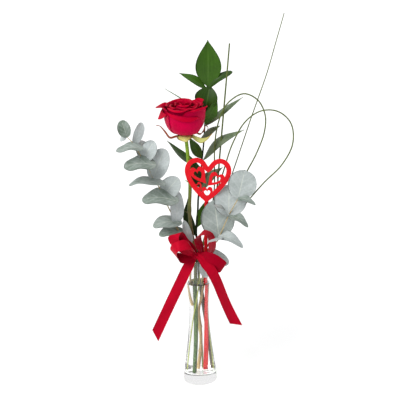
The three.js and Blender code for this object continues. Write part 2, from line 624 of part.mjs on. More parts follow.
// A heart that stands on its point at the origin; "notch" is the share of the height
// at which its two lobes meet.
function heartShape(width, height, notch) {
  const x = width / 2;
  const widest = 0.7 * height;
  const shape = new THREE.Shape();
  shape.moveTo(0, 0);
  shape.bezierCurveTo(0.45 * x, 0.26 * height, x, 0.45 * height, x, widest);
  shape.bezierCurveTo(x, 0.88 * height, 0.82 * x, height, 0.53 * x, height);
  shape.bezierCurveTo(0.3 * x, height, 0.12 * x, (notch + 0.1) * height, 0, notch * height);
  shape.bezierCurveTo(-0.12 * x, (notch + 0.1) * height, -0.3 * x, height, -0.53 * x, height);
  shape.bezierCurveTo(-0.82 * x, height, -x, 0.88 * height, -x, widest);
  shape.bezierCurveTo(-x, 0.45 * height, -0.45 * x, 0.26 * height, 0, 0);
  return shape;
}

// A heart-shaped ring, upright and facing the front, its point at x, z. Its window
// starts "sill" above the point and is "band" narrower on every other side.
function heartRing({ width, height, notch, band, sill, x, z, tilt, segments }) {
  const slab = (shape, depth, lift) => {
    const plate = new THREE.ExtrudeGeometry(shape, {
      depth,
      bevelEnabled: false,
      curveSegments: segments,
    });
    return toSolid(plate.translate(0, lift, -depth / 2));
  };
  const outer = slab(heartShape(width, height, notch), HEART_THICKNESS, 0);
  const opening = heartShape(width - 2 * band, height - sill - band, notch - 0.1);
  return outer.subtract(slab(opening, HEART_THICKNESS + 2, sill))
    .rotate([90, 0, 0])
    .rotate([0, tilt, 0])
    .translate([x, 0, z]);
}

// The large heart, then the small ones that fill it, joined to it and to each other.
const HEART_RINGS = [
  { width: 63.8, height: 63.2, notch: 0.83, band: 5.8, sill: 10.4, x: 0, z: 0, tilt: 0, segments: 5 },
  { width: 22, height: 26, notch: 0.84, band: 4.4, sill: 7.5, x: -2.6, z: 28, tilt: -32, segments: 3 },
  { width: 22, height: 25, notch: 0.82, band: 3.6, sill: 6, x: 2.2, z: 24, tilt: 38, segments: 3 },
  { width: 10, height: 11.5, notch: 0.82, band: 2.4, sill: 4, x: -8, z: 19.6, tilt: -44, segments: 3 },
  { width: 15.6, height: 15, notch: 0.82, band: 2.9, sill: 3.6, x: 0.4, z: 7.6, tilt: 0, segments: 3 },
];

// The flat stick; with a margin it is the room the stick takes up in the water.
function stickGeometry(margin = 0) {
  const foot = vector(STICK_FOOT);
  const top = vector(STICK_TOP);
  const stick = new THREE.BoxGeometry(
    STICK_WIDTH + 2 * margin, STICK_THICKNESS + 2 * margin, foot.distanceTo(top) + 8 * margin,
  );
  const upright = new THREE.Vector3(0, 0, 1);
  const lean = top.clone().sub(foot).normalize();
  stick.applyQuaternion(new THREE.Quaternion().setFromUnitVectors(upright, lean));
  return stick.translate(...foot.lerp(top, 0.5));
}

function heartPickGeometry() {
  const plate = HEART_RINGS.map(heartRing).reduce((all, next) => all.add(next));
  const tilted = toGeometry(plate).rotateY(THREE.MathUtils.degToRad(HEART_TILT));
  tilted.translate(HEART_POINT[0], STICK_TOP[1], HEART_POINT[1]);
  return toGeometry(join([tilted, stickGeometry()]));
}

// ---- ribbon ---------------------------------------------------------------------------

function tieBand() {
  const [inner, outer] = [TIE_RADIUS, TIE_RADIUS + RIBBON_THICKNESS];
  const top = TIE_BOTTOM + TIE_HEIGHT;
  const profile = [
    [inner, TIE_BOTTOM], [outer, TIE_BOTTOM], [outer, top], [inner, top], [inner, TIE_BOTTOM],
  ].map(([r, z]) => new THREE.Vector2(r, z));
  return turned(profile, 24).translate(...TIE_CENTRE, 0);
}

function knot() {
  const profile = [[0, -4.5], [3.4, -4], [4.6, -1.6], [4.6, 1.6], [3.4, 4], [0, 4.5]]
    .map(([r, z]) => new THREE.Vector2(r, z));
  return turned(profile, 10).scale(1.15, 1, 1).translate(...KNOT);
}

// Gathered to under half its width at the knot, full width further out.
const loopWidth = (s) => RIBBON_WIDTH * (0.42 + 0.58 * Math.sin(Math.PI * s) ** 0.6);
const tailWidth = (s) => RIBBON_WIDTH * Math.min(1, 0.5 + 2.5 * s);

function ribbonGeometry() {
  const loops = BOW_LOOPS.map(({ route, across }) => strip({
    route, across, widthAt: loopWidth, thickness: RIBBON_THICKNESS, rows: 12, columns: 2,
  }));
  const tails = TAILS.map(({ route, across }) => strip({
    route, across, widthAt: tailWidth, thickness: RIBBON_THICKNESS, rows: 8, columns: 2,
  }));
  return toGeometry(join([tieBand(), knot(), ...loops, ...tails]));
}

// ---- assembly -------------------------------------------------------------------------

// The room a stem takes up in the water, open at its cut end.
function holeFor([route, radii, sides, steps]) {
  const wide = radii.map((radius) => radius + GAP);
  const end = vector(route[0]);
  const down = end.clone().sub(vector(route[1])).normalize();
  const above = end.clone().addScaledVector(down, -1.5).toArray();
  const below = end.clone().addScaledVector(down, 3).toArray();
  const mouth = stem([above, below], [wide[0] + 0.1, wide[0] + 0.1], sides, 1);
  return toSolid(stem(route, wide, sides, steps)).add(toSolid(mouth));
}

let water = toSolid(waterGeometry());
for (const wetStem of WET_STEMS) water = water.subtract(holeFor(wetStem));
water = water.subtract(toSolid(stickGeometry(GAP)));

const arrangement = new THREE.Group();
arrangement.add(
  node("vase", vaseGeometry(), 0xeef4f2, 0.05),
  node("water", toGeometry(water), 0xe6efdc, 0.05),
  node("rose_stem", roseStemGeometry(), 0x5f7d1e, 0.6),
  node("rose_bloom", bloomGeometry(), 0xc00a30, 0.6),
  node("ruscus_spray", ruscusGeometry(), 0x2f5a1c, 0.45),
  node(
    "eucalyptus_left",
    eucalyptusGeometry([EUCALYPTUS_LEFT_STEM], EUCALYPTUS_LEFT_LEAVES),
    0x94a596,
    0.75,
  ),
  node(
    "eucalyptus_right",
    eucalyptusGeometry([EUCALYPTUS_RIGHT_STEM, LOW_LEAF_STEM], EUCALYPTUS_RIGHT_LEAVES),
    0x9aa9a0,
    0.75,
  ),
  node("grass_straight", grassGeometry(GRASS_STRAIGHT), 0x6c7a3c, 0.6),
  node("grass_long", grassGeometry(GRASS_LONG), 0x6c7a3c, 0.6),
  node("grass_loop_small", grassGeometry(GRASS_LOOP_SMALL), 0x6c7a3c, 0.6),
  node("grass_loop_large", grassGeometry(GRASS_LOOP_LARGE), 0x6c7a3c, 0.6),
  node("heart_pick", heartPickGeometry(), 0xee2233, 0.5),
  node("ribbon", ribbonGeometry(), 0xb20a28, 0.4),
);

export default arrangement;
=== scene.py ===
# %% [markdown]
# # A red rose in a bud vase
# This lesson dresses a plain model of a small florist's arrangement: one red rose in a
# waisted glass vase of water, with a sprig of ruscus, two sprigs of silver-dollar
# eucalyptus, four blades of grass, a red wooden heart on a stick and a satin bow.
# The plain solids are loaded first and never moved. Every finer piece is built over one
# of them, in metres, with +Z up and the front towards -Y.

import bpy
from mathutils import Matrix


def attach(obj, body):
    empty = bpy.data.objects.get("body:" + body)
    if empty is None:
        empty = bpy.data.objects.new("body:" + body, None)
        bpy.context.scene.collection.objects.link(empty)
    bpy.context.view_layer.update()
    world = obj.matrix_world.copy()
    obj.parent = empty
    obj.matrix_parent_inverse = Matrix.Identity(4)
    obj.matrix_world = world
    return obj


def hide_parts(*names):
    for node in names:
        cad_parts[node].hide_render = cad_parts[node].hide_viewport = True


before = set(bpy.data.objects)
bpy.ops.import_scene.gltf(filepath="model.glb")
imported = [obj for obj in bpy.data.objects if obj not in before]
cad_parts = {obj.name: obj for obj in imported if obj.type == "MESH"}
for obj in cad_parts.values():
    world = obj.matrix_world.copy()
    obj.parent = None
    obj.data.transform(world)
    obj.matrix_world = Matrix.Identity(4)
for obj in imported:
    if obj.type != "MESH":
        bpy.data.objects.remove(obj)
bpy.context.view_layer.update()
print("plain solids:", ", ".join(sorted(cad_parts)))

# %% Tools used throughout
import math

import bmesh
import bpy
import numpy as np
from mathutils import Matrix, Quaternion, Vector

MM = 0.001

# %% [markdown]
# ## The camera and the studio
# The picture was taken from a little above, with a long lens, so near and far leaves keep
# almost the same size. A camera 2.4 m away with a 154 mm lens gives that view. The
# arrangement leans a touch to the left in the frame, so the camera is rolled a little.
# It is made before the pieces, so that each can be tried in view at once.

# %% Camera
LOOK_AT = Vector((5.6, 0, 274)) * MM
DISTANCE, ELEVATION, ROLL = 2.4, math.radians(19), math.radians(-1.4)
LENS, SENSOR, VIEW_END = 154.3, 36, 40


def add_object(name, data):
    """A new object at the origin that shows this mesh, lamp or camera."""
    item = bpy.data.objects.new(name, data)
    bpy.context.scene.collection.objects.link(item)
    return item


camera = add_object("camera", bpy.data.cameras.new("camera"))
away = Vector((0, -math.cos(ELEVATION), math.sin(ELEVATION)))
camera.location = LOOK_AT + away * DISTANCE
camera.rotation_mode = "QUATERNION"
camera.rotation_quaternion = (-away).to_track_quat("-Z", "Y") @ Quaternion((0, 0, 1), ROLL)
camera.data.lens, camera.data.sensor_width = LENS, SENSOR
camera.data.clip_end = VIEW_END
bpy.context.scene.camera = camera
print("camera at", [round(x, 3) for x in camera.location])

# %% [markdown]
# The floor and the room are nearly white. One broad, soft sun stands to the upper left, so
# each leaf has a bright and a shaded side. The room is darker in front than behind: that
# draws a thin grey line down both edges of the glass, which would vanish in an evenly
# white room.

# %% Floor and room
FLOOR_RADIUS, FLOOR_DROP, ROOM_STRENGTH = 7, 0.0003, 0.85


def plain_material(name, colour, roughness):
    """A material with one Principled shader. Returns the material and the shader."""
    material = bpy.data.materials.new(name)
    material.use_nodes = True
    shader = material.node_tree.nodes["Principled BSDF"]
    shader.inputs["Base Color"].default_value = (*colour, 1)
    shader.inputs["Roughness"].default_value = roughness
    return material, shader


bpy.ops.mesh.primitive_circle_add(vertices=64, radius=FLOOR_RADIUS, fill_type="NGON")
floor = bpy.context.object
floor.name = "floor"
floor.location.z = -FLOOR_DROP
floor.data.materials.append(plain_material("pale floor", (0.9, 0.9, 0.905), 0.7)[0])

world = bpy.data.worlds.new("studio")
bpy.context.scene.world = world
world.use_nodes = True
room, room_links = world.node_tree.nodes, world.node_tree.links
direction = room.new("ShaderNodeTexCoord")
split = room.new("ShaderNodeSeparateXYZ")
front_to_back = room.new("ShaderNodeMapRange")
for name, value in (("From Min", -1), ("From Max", 0.3), ("To Min", 0.3), ("To Max", 1.0)):
    front_to_back.inputs[name].default_value = value
room_links.new(direction.outputs["Generated"], split.inputs[0])
room_links.new(split.outputs["Y"], front_to_back.inputs["Value"])
room_links.new(front_to_back.outputs[0], room["Background"].inputs["Color"])
room["Background"].inputs["Strength"].default_value = ROOM_STRENGTH
bpy.context.scene.view_settings.view_transform = "Standard"
print("floor radius", FLOOR_RADIUS, "m, room strength", ROOM_STRENGTH)

# %% Soft sun
sun = bpy.data.lights.new("soft sun", "SUN")
sun.energy, sun.angle = 3.1, math.radians(45)
sun_holder = add_object("soft sun", sun)
towards_sun = Vector((-0.62, -0.68, 0.85))
sun_holder.rotation_mode = "QUATERNION"
sun_holder.rotation_quaternion = (-towards_sun).to_track_quat("-Z", "Y")
print("sun strength", sun.energy, "from the upper left")

# %% [markdown]
# ## Helpers for shapes
# Leaves, petals and ribbon are all thin sheets. One helper lays a smooth curve through a
# few points; another turns a grid of points into a closed sheet with a real thickness, so
# both faces and the rim are modelled. Each sheet carries three values for its material:
# which face a point is on, a tone of its own, and how far along and across it lies (UV).

# %% Smooth curves
STEPS_PER_SPAN = 24


def smooth_path(points, count, *others):
    """Evenly spaced points on a smooth curve. Lists in others are carried along.

    Returns the points, the carried values at each of them and the curve's length.
    """
    tracks = np.hstack([np.array(t, float) for t in (points, *others)])
    width = len(points[0])
    ends = (2 * tracks[:1] - tracks[1:2], 2 * tracks[-1:] - tracks[-2:-1])
    padded = np.vstack([ends[0], tracks, ends[1]])
    dense = []
    for a, b, c, d in zip(padded, padded[1:], padded[2:], padded[3:]):
        ab, bc, cd = (max(np.linalg.norm((q - p)[:width]), 1e-6) ** 0.5
                      for p, q in ((a, b), (b, c), (c, d)))
        start = c - b + bc * ((b - a) / ab - (c - a) / (ab + bc))
        stop = c - b + bc * ((d - c) / cd - (d - b) / (bc + cd))
        t = np.linspace(0, 1, STEPS_PER_SPAN, endpoint=False)[:, None]
        dense.append((2 * (b - c) + start + stop) * t**3
                     + (3 * (c - b) - 2 * start - stop) * t**2 + start * t + b)
    dense = np.vstack([*dense, padded[-2:-1]])
    steps = np.linalg.norm(np.diff(dense[:, :width], axis=0), axis=1)
    travelled = np.concatenate([[0], np.cumsum(steps)])
    wanted = np.linspace(0, travelled[-1], count)
    even = np.column_stack([np.interp(wanted, travelled, column) for column in dense.T])
    return even[:, :width], even[:, width:], travelled[-1]


def unit(vectors):
    """The same directions, each with a length of 1."""
    return vectors / np.maximum(np.linalg.norm(vectors, axis=-1, keepdims=True), 1e-12)


def smooth_outline(points, count):
    """Evenly spaced points on a smooth flat curve through (across, height) pairs."""
    line, _, _ = smooth_path([(x, 0, z) for x, z in points], count)
    return line[:, [0, 2]]


print("a 10 mm line resampled:", smooth_path([(0, 0, 0), (0, 0, 10)], 3)[0].tolist())

# %% Closed sheets
def sheet_part(grid, thickness, tone=0.5):
    """A closed thin sheet round a grid of middle points (along, across, xyz), in mm."""
    rows, columns = grid.shape[:2]
    normal = unit(np.cross(np.gradient(grid, axis=0), np.gradient(grid, axis=1)))
    offset = normal * np.broadcast_to(thickness, (rows, columns))[..., None] / 2
    points = np.concatenate([(grid + offset).reshape(-1, 3), (grid - offset).reshape(-1, 3)])
    under = rows * columns
    index = np.arange(under).reshape(rows, columns)
    a, b, c, d = index[:-1, :-1], index[1:, :-1], index[1:, 1:], index[:-1, 1:]
    faces = [np.stack([a, b, c, d], -1).reshape(-1, 4)]
    faces.append(np.stack([a, d, c, b], -1).reshape(-1, 4) + under)
    rim = np.concatenate([index[::-1, 0], index[0, 1:], index[1:, -1], index[-1, -2:0:-1]])
    rim = np.append(rim, rim[0])
    faces.append(np.stack([rim[:-1], rim[:-1] + under, rim[1:] + under, rim[1:]], -1))
    along, across = np.meshgrid(np.linspace(0, 1, rows), np.linspace(0, 1, columns), indexing="ij")
    uv = np.tile(np.column_stack([across.ravel(), along.ravel()]), (2, 1))
    side = np.repeat([1.0, 0.0], under)
    return points, np.concatenate(faces), uv, side, np.full(2 * under, tone)

# %% Pieces from sheets
def mesh_piece(name, parts, material):
    """One mesh object from sheet parts. Faces are smooth, and the object sits at the origin."""
    points, faces, uv, side, tone = [], [], [], [], []
    for part in parts:
        faces.append(part[1] + sum(len(p) for p in points))
        for store, values in zip((points, uv, side, tone), (part[0], *part[2:])):
            store.append(values)
    mesh = bpy.data.meshes.new(name)
    mesh.from_pydata(np.concatenate(points) * MM, [], np.concatenate(faces).tolist())
    corners = np.zeros(len(mesh.loops), int)
    mesh.loops.foreach_get("vertex_index", corners)
    mesh.uv_layers.new(name="UVMap").data.foreach_set("uv", np.concatenate(uv)[corners].ravel())
    for label, values in (("face_side", side), ("tone", tone)):
        attribute = mesh.attributes.new(label, "FLOAT", "POINT")
        attribute.data.foreach_set("value", np.concatenate(values))
    mesh.shade_smooth()
    mesh.materials.append(material)
    return add_object(name, mesh)


def dress(piece, node):
    """The piece rides on the model and stands for this plain solid."""
    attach(piece, "root")
    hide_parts(node)
    print(piece.name, "has", len(piece.data.polygons), "faces")
    return piece


# %% [markdown]
# ## Effects that several materials share
# Three small node groups are built once: soft blotches for most finishes, fine lines along
# one direction for petals, leaves, satin, wood and stalks, and the rib and veins of a
# leaf. They give out only masks and heights. Each material mixes its own colours with them.

# %% Node helpers
FLOAT = "NodeSocketFloat"


def wire(tree, source, target):
    tree.links.new(source, target)


def calc(tree, operation, *values, clamp=False):
    """A Math node whose inputs are sockets or numbers."""
    node = tree.nodes.new("ShaderNodeMath")
    node.operation, node.use_clamp = operation, clamp
    for slot, value in zip(node.inputs, values):
        if isinstance(value, (int, float)):
            slot.default_value = value
        else:
            wire(tree, value, slot)
    return node.outputs[0]


def stronger(tree, noise, *gains):
    """A noise spread about its middle, 0.5, by every gain and kept from 0 to 1."""
    spread = calc(tree, "SUBTRACT", noise, 0.5)
    for gain in gains:
        spread = calc(tree, "MULTIPLY", spread, gain)
    return calc(tree, "ADD", spread, 0.5, clamp=True)


def new_group(name, sizes, outputs):
    """An empty shader group. It reads a Vector and these sizes, and gives out masks."""
    tree = bpy.data.node_groups.new(name, "ShaderNodeTree")
    add = tree.interface.new_socket
    add("Vector", in_out="INPUT", socket_type="NodeSocketVector")
    for label, default in sizes.items():
        add(label, in_out="INPUT", socket_type=FLOAT).default_value = default
    for label in outputs:
        add(label, in_out="OUTPUT", socket_type=FLOAT)
    print("group made:", name)
    return tree, tree.nodes.new("NodeGroupInput").outputs, tree.nodes.new("NodeGroupOutput").inputs


# %% Group: soft blotches
BLOTCH_GAIN = 2.4
# Each row: how much finer than Scale a noise is, and its share of the whole.
NOISES = [(1.0, 0.7), (4.7, 0.3)]

blotches, given, out = new_group("soft blotches", {"Scale": 90.0, "Contrast": 1.0}, ["Amount"])
shares = []
for factor, share in NOISES:
    noise = blotches.nodes.new("ShaderNodeTexNoise")
    noise.inputs["Detail"].default_value = 3
    wire(blotches, given["Vector"], noise.inputs["Vector"])
    wire(blotches, calc(blotches, "MULTIPLY", given["Scale"], factor), noise.inputs["Scale"])
    shares.append(calc(blotches, "MULTIPLY", noise.outputs[0], share))
both = calc(blotches, "ADD", *shares)
wire(blotches, stronger(blotches, both, given["Contrast"], BLOTCH_GAIN), out["Amount"])

# %% Group: fine lines
LINE_GAIN = 2.2

fibres, given, out = new_group("fine lines", {"Across": 60.0, "Along": 2.0}, ["Amount"])
stretch = fibres.nodes.new("ShaderNodeCombineXYZ")
for axis, size in (("X", "Across"), ("Y", "Along"), ("Z", "Across")):
    wire(fibres, given[size], stretch.inputs[axis])
scaled = fibres.nodes.new("ShaderNodeVectorMath")
scaled.operation = "MULTIPLY"
wire(fibres, given["Vector"], scaled.inputs[0])
wire(fibres, stretch.outputs[0], scaled.inputs[1])
lines = fibres.nodes.new("ShaderNodeTexNoise")
lines.inputs["Scale"].default_value = 1.0
lines.inputs["Detail"].default_value = 4
wire(fibres, scaled.outputs[0], lines.inputs["Vector"])
wire(fibres, stronger(fibres, lines.outputs[0], LINE_GAIN), out["Amount"])

# %% Group: rib and veins
VEIN_SHARPNESS = 9.0

veins, given, out = new_group(
    "rib and veins", {"Pairs": 7.0, "Slant": 1.4, "Rib": 0.05}, ["Rib", "Veins"])
place = veins.nodes.new("ShaderNodeSeparateXYZ")
wire(veins, given["Vector"], place.inputs[0])
off_rib = calc(veins, "ABSOLUTE", calc(veins, "SUBTRACT", place.outputs["X"], 0.5))
rib = calc(veins, "SUBTRACT", 1.0, calc(veins, "DIVIDE", off_rib, given["Rib"]), clamp=True)
wire(veins, rib, out["Rib"])
slope = calc(veins, "MULTIPLY", given["Slant"], 0.3)
climb = calc(veins, "SUBTRACT", place.outputs["Y"], calc(veins, "MULTIPLY", off_rib, slope))
phase = calc(veins, "MULTIPLY", calc(veins, "MULTIPLY", climb, given["Pairs"]), 2 * math.pi)
wave = calc(veins, "MULTIPLY", calc(veins, "ADD", calc(veins, "SINE", phase), 1.0), 0.5)
wire(veins, calc(veins, "POWER", wave, VEIN_SHARPNESS), out["Veins"])

# %% [markdown]
# ## Short calls for materials
# No real leaf, petal or ribbon has one flat colour. Each finish starts as a plain shader,
# and its colours are mixed by the masks above. A small class keeps a material and its tree
# together, so that a step of a finish is one short call and finishes are easy to compare.

# %% Material helpers
def linear(colour):
    """sRGB from 0 to 255 to the linear values that Blender's colours hold."""
    return tuple((c / 12.92 if c <= 0.04045 else ((c + 0.055) / 1.055) ** 2.4)
                 for c in (v / 255 for v in colour))


class Finish:
    """A material under construction: its tree, its shader, and short calls for common steps.

    A space is "Object", in metres from the origin, or "UV", with X across a sheet and Y
    along it. Colours are sRGB triples from 0 to 255, or sockets.
    """

    def __init__(self, name, roughness=0.5, gloss=0.3, tint=(255, 255, 255)):
        self.material, self.shader = plain_material(name, (0.8, 0.8, 0.8), roughness)
        self.shader.inputs["Specular IOR Level"].default_value = gloss
        self.shader.inputs["Specular Tint"].default_value = (*linear(tint), 1)
        self.tree = self.material.node_tree
        self.where = self.tree.nodes.new("ShaderNodeTexCoord")
        print("finish made:", name)

    def calc(self, operation, *values, clamp=False):
        return calc(self.tree, operation, *values, clamp=clamp)

    def group(self, group, space, **values):
        node = self.tree.nodes.new("ShaderNodeGroup")
        node.node_tree = group
        wire(self.tree, self.where.outputs[space], node.inputs["Vector"])
        for label, value in values.items():
            node.inputs[label].default_value = value
        return node.outputs

    def streaks(self, space, across, along):
        return self.group(fibres, space, Across=across, Along=along)["Amount"]

    def patches(self, scale, contrast=1.0):
        return self.group(blotches, "Object", Scale=scale, Contrast=contrast)["Amount"]

    def value(self, label):
        node = self.tree.nodes.new("ShaderNodeAttribute")
        node.attribute_name = label
        return node.outputs["Fac"]

    def mix(self, factor, first, second):
        """A Mix node has its factor at input 0 and its colours at inputs 6 and 7."""
        node = self.tree.nodes.new("ShaderNodeMix")
        node.data_type = "RGBA"
        for number, value in ((0, factor), (6, first), (7, second)):
            if isinstance(value, tuple):
                node.inputs[number].default_value = (*linear(value), 1)
            elif isinstance(value, (int, float)):
                node.inputs[number].default_value = value
            else:
                wire(self.tree, value, node.inputs[number])
        return node.outputs[2]

    def tinted(self, base, mask, share, colour):
        """The base with up to this share of a colour over it, where the mask is 1."""
        return self.mix(self.calc("MULTIPLY", mask, share), base, colour)

    def coordinate(self, axis, space="Object"):
        node = self.tree.nodes.new("ShaderNodeSeparateXYZ")
        wire(self.tree, self.where.outputs[space], node.inputs[0])
        return node.outputs[axis]

    def ramp(self, value, low, high):
        """From 0 at low to 1 at high, with soft ends."""
        node = self.tree.nodes.new("ShaderNodeMapRange")
        node.interpolation_type = "SMOOTHSTEP"
        wire(self.tree, value, node.inputs["Value"])
        node.inputs["From Min"].default_value, node.inputs["From Max"].default_value = low, high
        return node.outputs[0]

    def colour(self, socket):
        wire(self.tree, socket, self.shader.inputs["Base Color"])

    def bump(self, height, strength, distance):
        node = self.tree.nodes.new("ShaderNodeBump")
        node.inputs["Strength"].default_value = strength
        node.inputs["Distance"].default_value = distance
        wire(self.tree, height, node.inputs["Height"])
        wire(self.tree, node.outputs[0], self.shader.inputs["Normal"])

    def roughen(self, value, low, high):
        span = self.calc("ADD", self.calc("MULTIPLY", value, high - low), low)
        wire(self.tree, span, self.shader.inputs["Roughness"])


# %% [markdown]
# ## Stalks and grass
# A stalk is a round rod along a curved path that tapers. Geometry Nodes suit it: the path
# is a mesh of points that carry their own thickness, the tree turns it into a curve and
# sweeps a circle along it. One tree serves every stem, stalk and blade of grass.

# %% Start and end of a geometry tree
def new_tree(name, sizes):
    """An empty geometry tree. sizes holds its inputs: a whole number makes a whole input."""
    tree = bpy.data.node_groups.new(name, "GeometryNodeTree")
    add = tree.interface.new_socket
    add("Geometry", in_out="INPUT", socket_type="NodeSocketGeometry")
    for label, default in sizes.items():
        kind = "NodeSocketInt" if isinstance(default, int) else FLOAT
        add(label, in_out="INPUT", socket_type=kind).default_value = default
    add("Finish", in_out="INPUT", socket_type="NodeSocketMaterial")
    add("Geometry", in_out="OUTPUT", socket_type="NodeSocketGeometry")
    return tree, tree.nodes.new("NodeGroupInput").outputs, tree.nodes.new("NodeGroupOutput").inputs


def end_tree(tree, shape, given, result):
    """Every tree ends in smooth faces, real copies, as the export drops live ones, and
    the finish."""
    ending = ("GeometryNodeSetShadeSmooth", "GeometryNodeRealizeInstances", "GeometryNodeSetMaterial")
    for kind in ending:
        node = tree.nodes.new(kind)
        wire(tree, shape, node.inputs[0])
        shape = node.outputs[0]
    wire(tree, given["Finish"], node.inputs["Material"])
    wire(tree, shape, result["Geometry"])
    print("tree made:", tree.name)
    return tree


# %% Tree: a rod along a path
def rod_tree():
    tree, given, result = new_tree("rod along a path", {"Thickness": 1.0, "Sides": 16})
    make = tree.nodes.new
    to_curve, sweep = make("GeometryNodeMeshToCurve"), make("GeometryNodeCurveToMesh")
    circle, own = make("GeometryNodeCurvePrimitiveCircle"), make("GeometryNodeInputNamedAttribute")
    circle.inputs["Radius"].default_value = 1.0
    own.data_type = "FLOAT"
    own.inputs["Name"].default_value = "rod_radius"
    sweep.inputs["Fill Caps"].default_value = True
    wire(tree, given["Geometry"], to_curve.inputs[0])
    wire(tree, given["Sides"], circle.inputs["Resolution"])
    wire(tree, to_curve.outputs[0], sweep.inputs["Curve"])
    wire(tree, circle.outputs["Curve"], sweep.inputs["Profile Curve"])
    wire(tree, calc(tree, "MULTIPLY", own.outputs[0], given["Thickness"]), sweep.inputs["Scale"])
    return end_tree(tree, sweep.outputs[0], given, result)


ROD = rod_tree()

# %% [markdown]
# A tree needs a host: a small mesh with a modifier that runs it. The result is copied as a
# plain mesh and the host is thrown away, so that nothing is left to be worked out later.

# %% Run a tree and keep the plain mesh
def grow(name, host_mesh, tree, **inputs):
    """Runs a geometry tree on a mesh and returns its result as a plain object."""
    host = add_object(name + " host", host_mesh)
    modifier = host.modifiers.new("grow", "NODES")
    modifier.node_group = tree
    for item in tree.interface.items_tree:
        if item.item_type == "SOCKET" and item.in_out == "INPUT" and item.name in inputs:
            modifier[item.identifier] = inputs[item.name]
    graph = bpy.context.evaluated_depsgraph_get()
    mesh = bpy.data.meshes.new_from_object(host.evaluated_get(graph))
    host.modifiers.remove(modifier)
    bpy.data.objects.remove(host)
    mesh.name = name
    return add_object(name, mesh)


def rod(name, route, radii, material, count, sides=16, swellings=()):
    """A tapered rod in mm. swellings are (share along, extra radius, share wide)."""
    line, _, _ = smooth_path(route, count)
    share = np.linspace(0, 1, count)
    radius = np.interp(share, np.linspace(0, 1, len(radii)), radii)
    for at, extra, wide in swellings:
        radius = radius + extra * np.exp(-(((share - at) / wide) ** 2))
    mesh = bpy.data.meshes.new(name + " line")
    mesh.from_pydata(line * MM, [(i, i + 1) for i in range(count - 1)], [])
    mesh.attributes.new("rod_radius", "FLOAT", "POINT").data.foreach_set("value", radius * MM)
    return grow(name, mesh, ROD, Thickness=1.0, Sides=sides, Finish=material)


def fuse(name, pieces):
    """Several objects become one mesh object."""
    for other in bpy.context.selected_objects:
        other.select_set(False)
    for piece in pieces:
        piece.select_set(True)
    bpy.context.view_layer.objects.active = pieces[0]
    bpy.ops.object.join()
    pieces[0].name = pieces[0].data.name = name
    return pieces[0]


# %% [markdown]
# Five pieces are round about an axis: the glass, the water, the heart of the bloom, the
# green swelling under it and the knot. A second tree works as a lathe. Its host is the
# outline as a row of points (radius, height); the tree lays a grid of that many rows
# round the axis, and merging closes the seam and the poles.

# %% Tree: a lathe
SEAM_GAP = 1e-6


def lathe_tree():
    tree, given, result = new_tree("lathe", {"Sides": 48})
    make = tree.nodes.new
    size, index = make("GeometryNodeAttributeDomainSize"), make("GeometryNodeInputIndex")
    grid, look = make("GeometryNodeMeshGrid"), make("GeometryNodeSampleIndex")
    place, split = make("GeometryNodeInputPosition"), make("ShaderNodeSeparateXYZ")
    join, move = make("ShaderNodeCombineXYZ"), make("GeometryNodeSetPosition")
    close = make("GeometryNodeMergeByDistance")
    look.data_type = "FLOAT_VECTOR"
    close.inputs["Distance"].default_value = SEAM_GAP
    rows, sides = size.outputs["Point Count"], given["Sides"]
    wire(tree, given["Geometry"], size.inputs[0])
    wire(tree, calc(tree, "ADD", sides, 1), grid.inputs["Vertices X"])
    wire(tree, rows, grid.inputs["Vertices Y"])
    column = calc(tree, "FLOOR", calc(tree, "DIVIDE", calc(tree, "ADD", index.outputs[0], 0.5), rows))
    row = calc(tree, "SUBTRACT", index.outputs[0], calc(tree, "MULTIPLY", column, rows))
    wire(tree, given["Geometry"], look.inputs["Geometry"])
    wire(tree, place.outputs[0], look.inputs["Value"])
    wire(tree, row, look.inputs["Index"])
    wire(tree, look.outputs[0], split.inputs[0])
    turn = calc(tree, "MULTIPLY", calc(tree, "DIVIDE", column, sides), 2 * math.pi)
    for axis, part_of_turn in (("X", "COSINE"), ("Y", "SINE")):
        reach = calc(tree, "MULTIPLY", split.outputs["X"], calc(tree, part_of_turn, turn))
        wire(tree, reach, join.inputs[axis])
    wire(tree, split.outputs["Z"], join.inputs["Z"])
    wire(tree, grid.outputs["Mesh"], move.inputs["Geometry"])
    wire(tree, join.outputs[0], move.inputs["Position"])
    wire(tree, move.outputs[0], close.inputs["Geometry"])
    return end_tree(tree, close.outputs[0], given, result)


LATHE = lathe_tree()


def lathe(name, outline, sides, material, rows=None):
    """A turned shape from (radius, height) in mm, bottom centre first. rows smooths it."""
    flat = smooth_outline(outline, rows) if rows else np.array(outline, float)
    line = np.column_stack([np.maximum(flat[:, 0], 0), 0 * flat[:, 1], flat[:, 1]])
    mesh = bpy.data.meshes.new(name + " outline")
    mesh.from_pydata(line * MM, [(i, i + 1) for i in range(len(line) - 1)], [])
    return grow(name, mesh, LATHE, Sides=sides, Finish=material)


# %% [markdown]
# The routes follow those of the plain solids, from the lower end of each stem up. The
# stems crowd together in the neck of the vase and inside the ribbon's band, then spread.

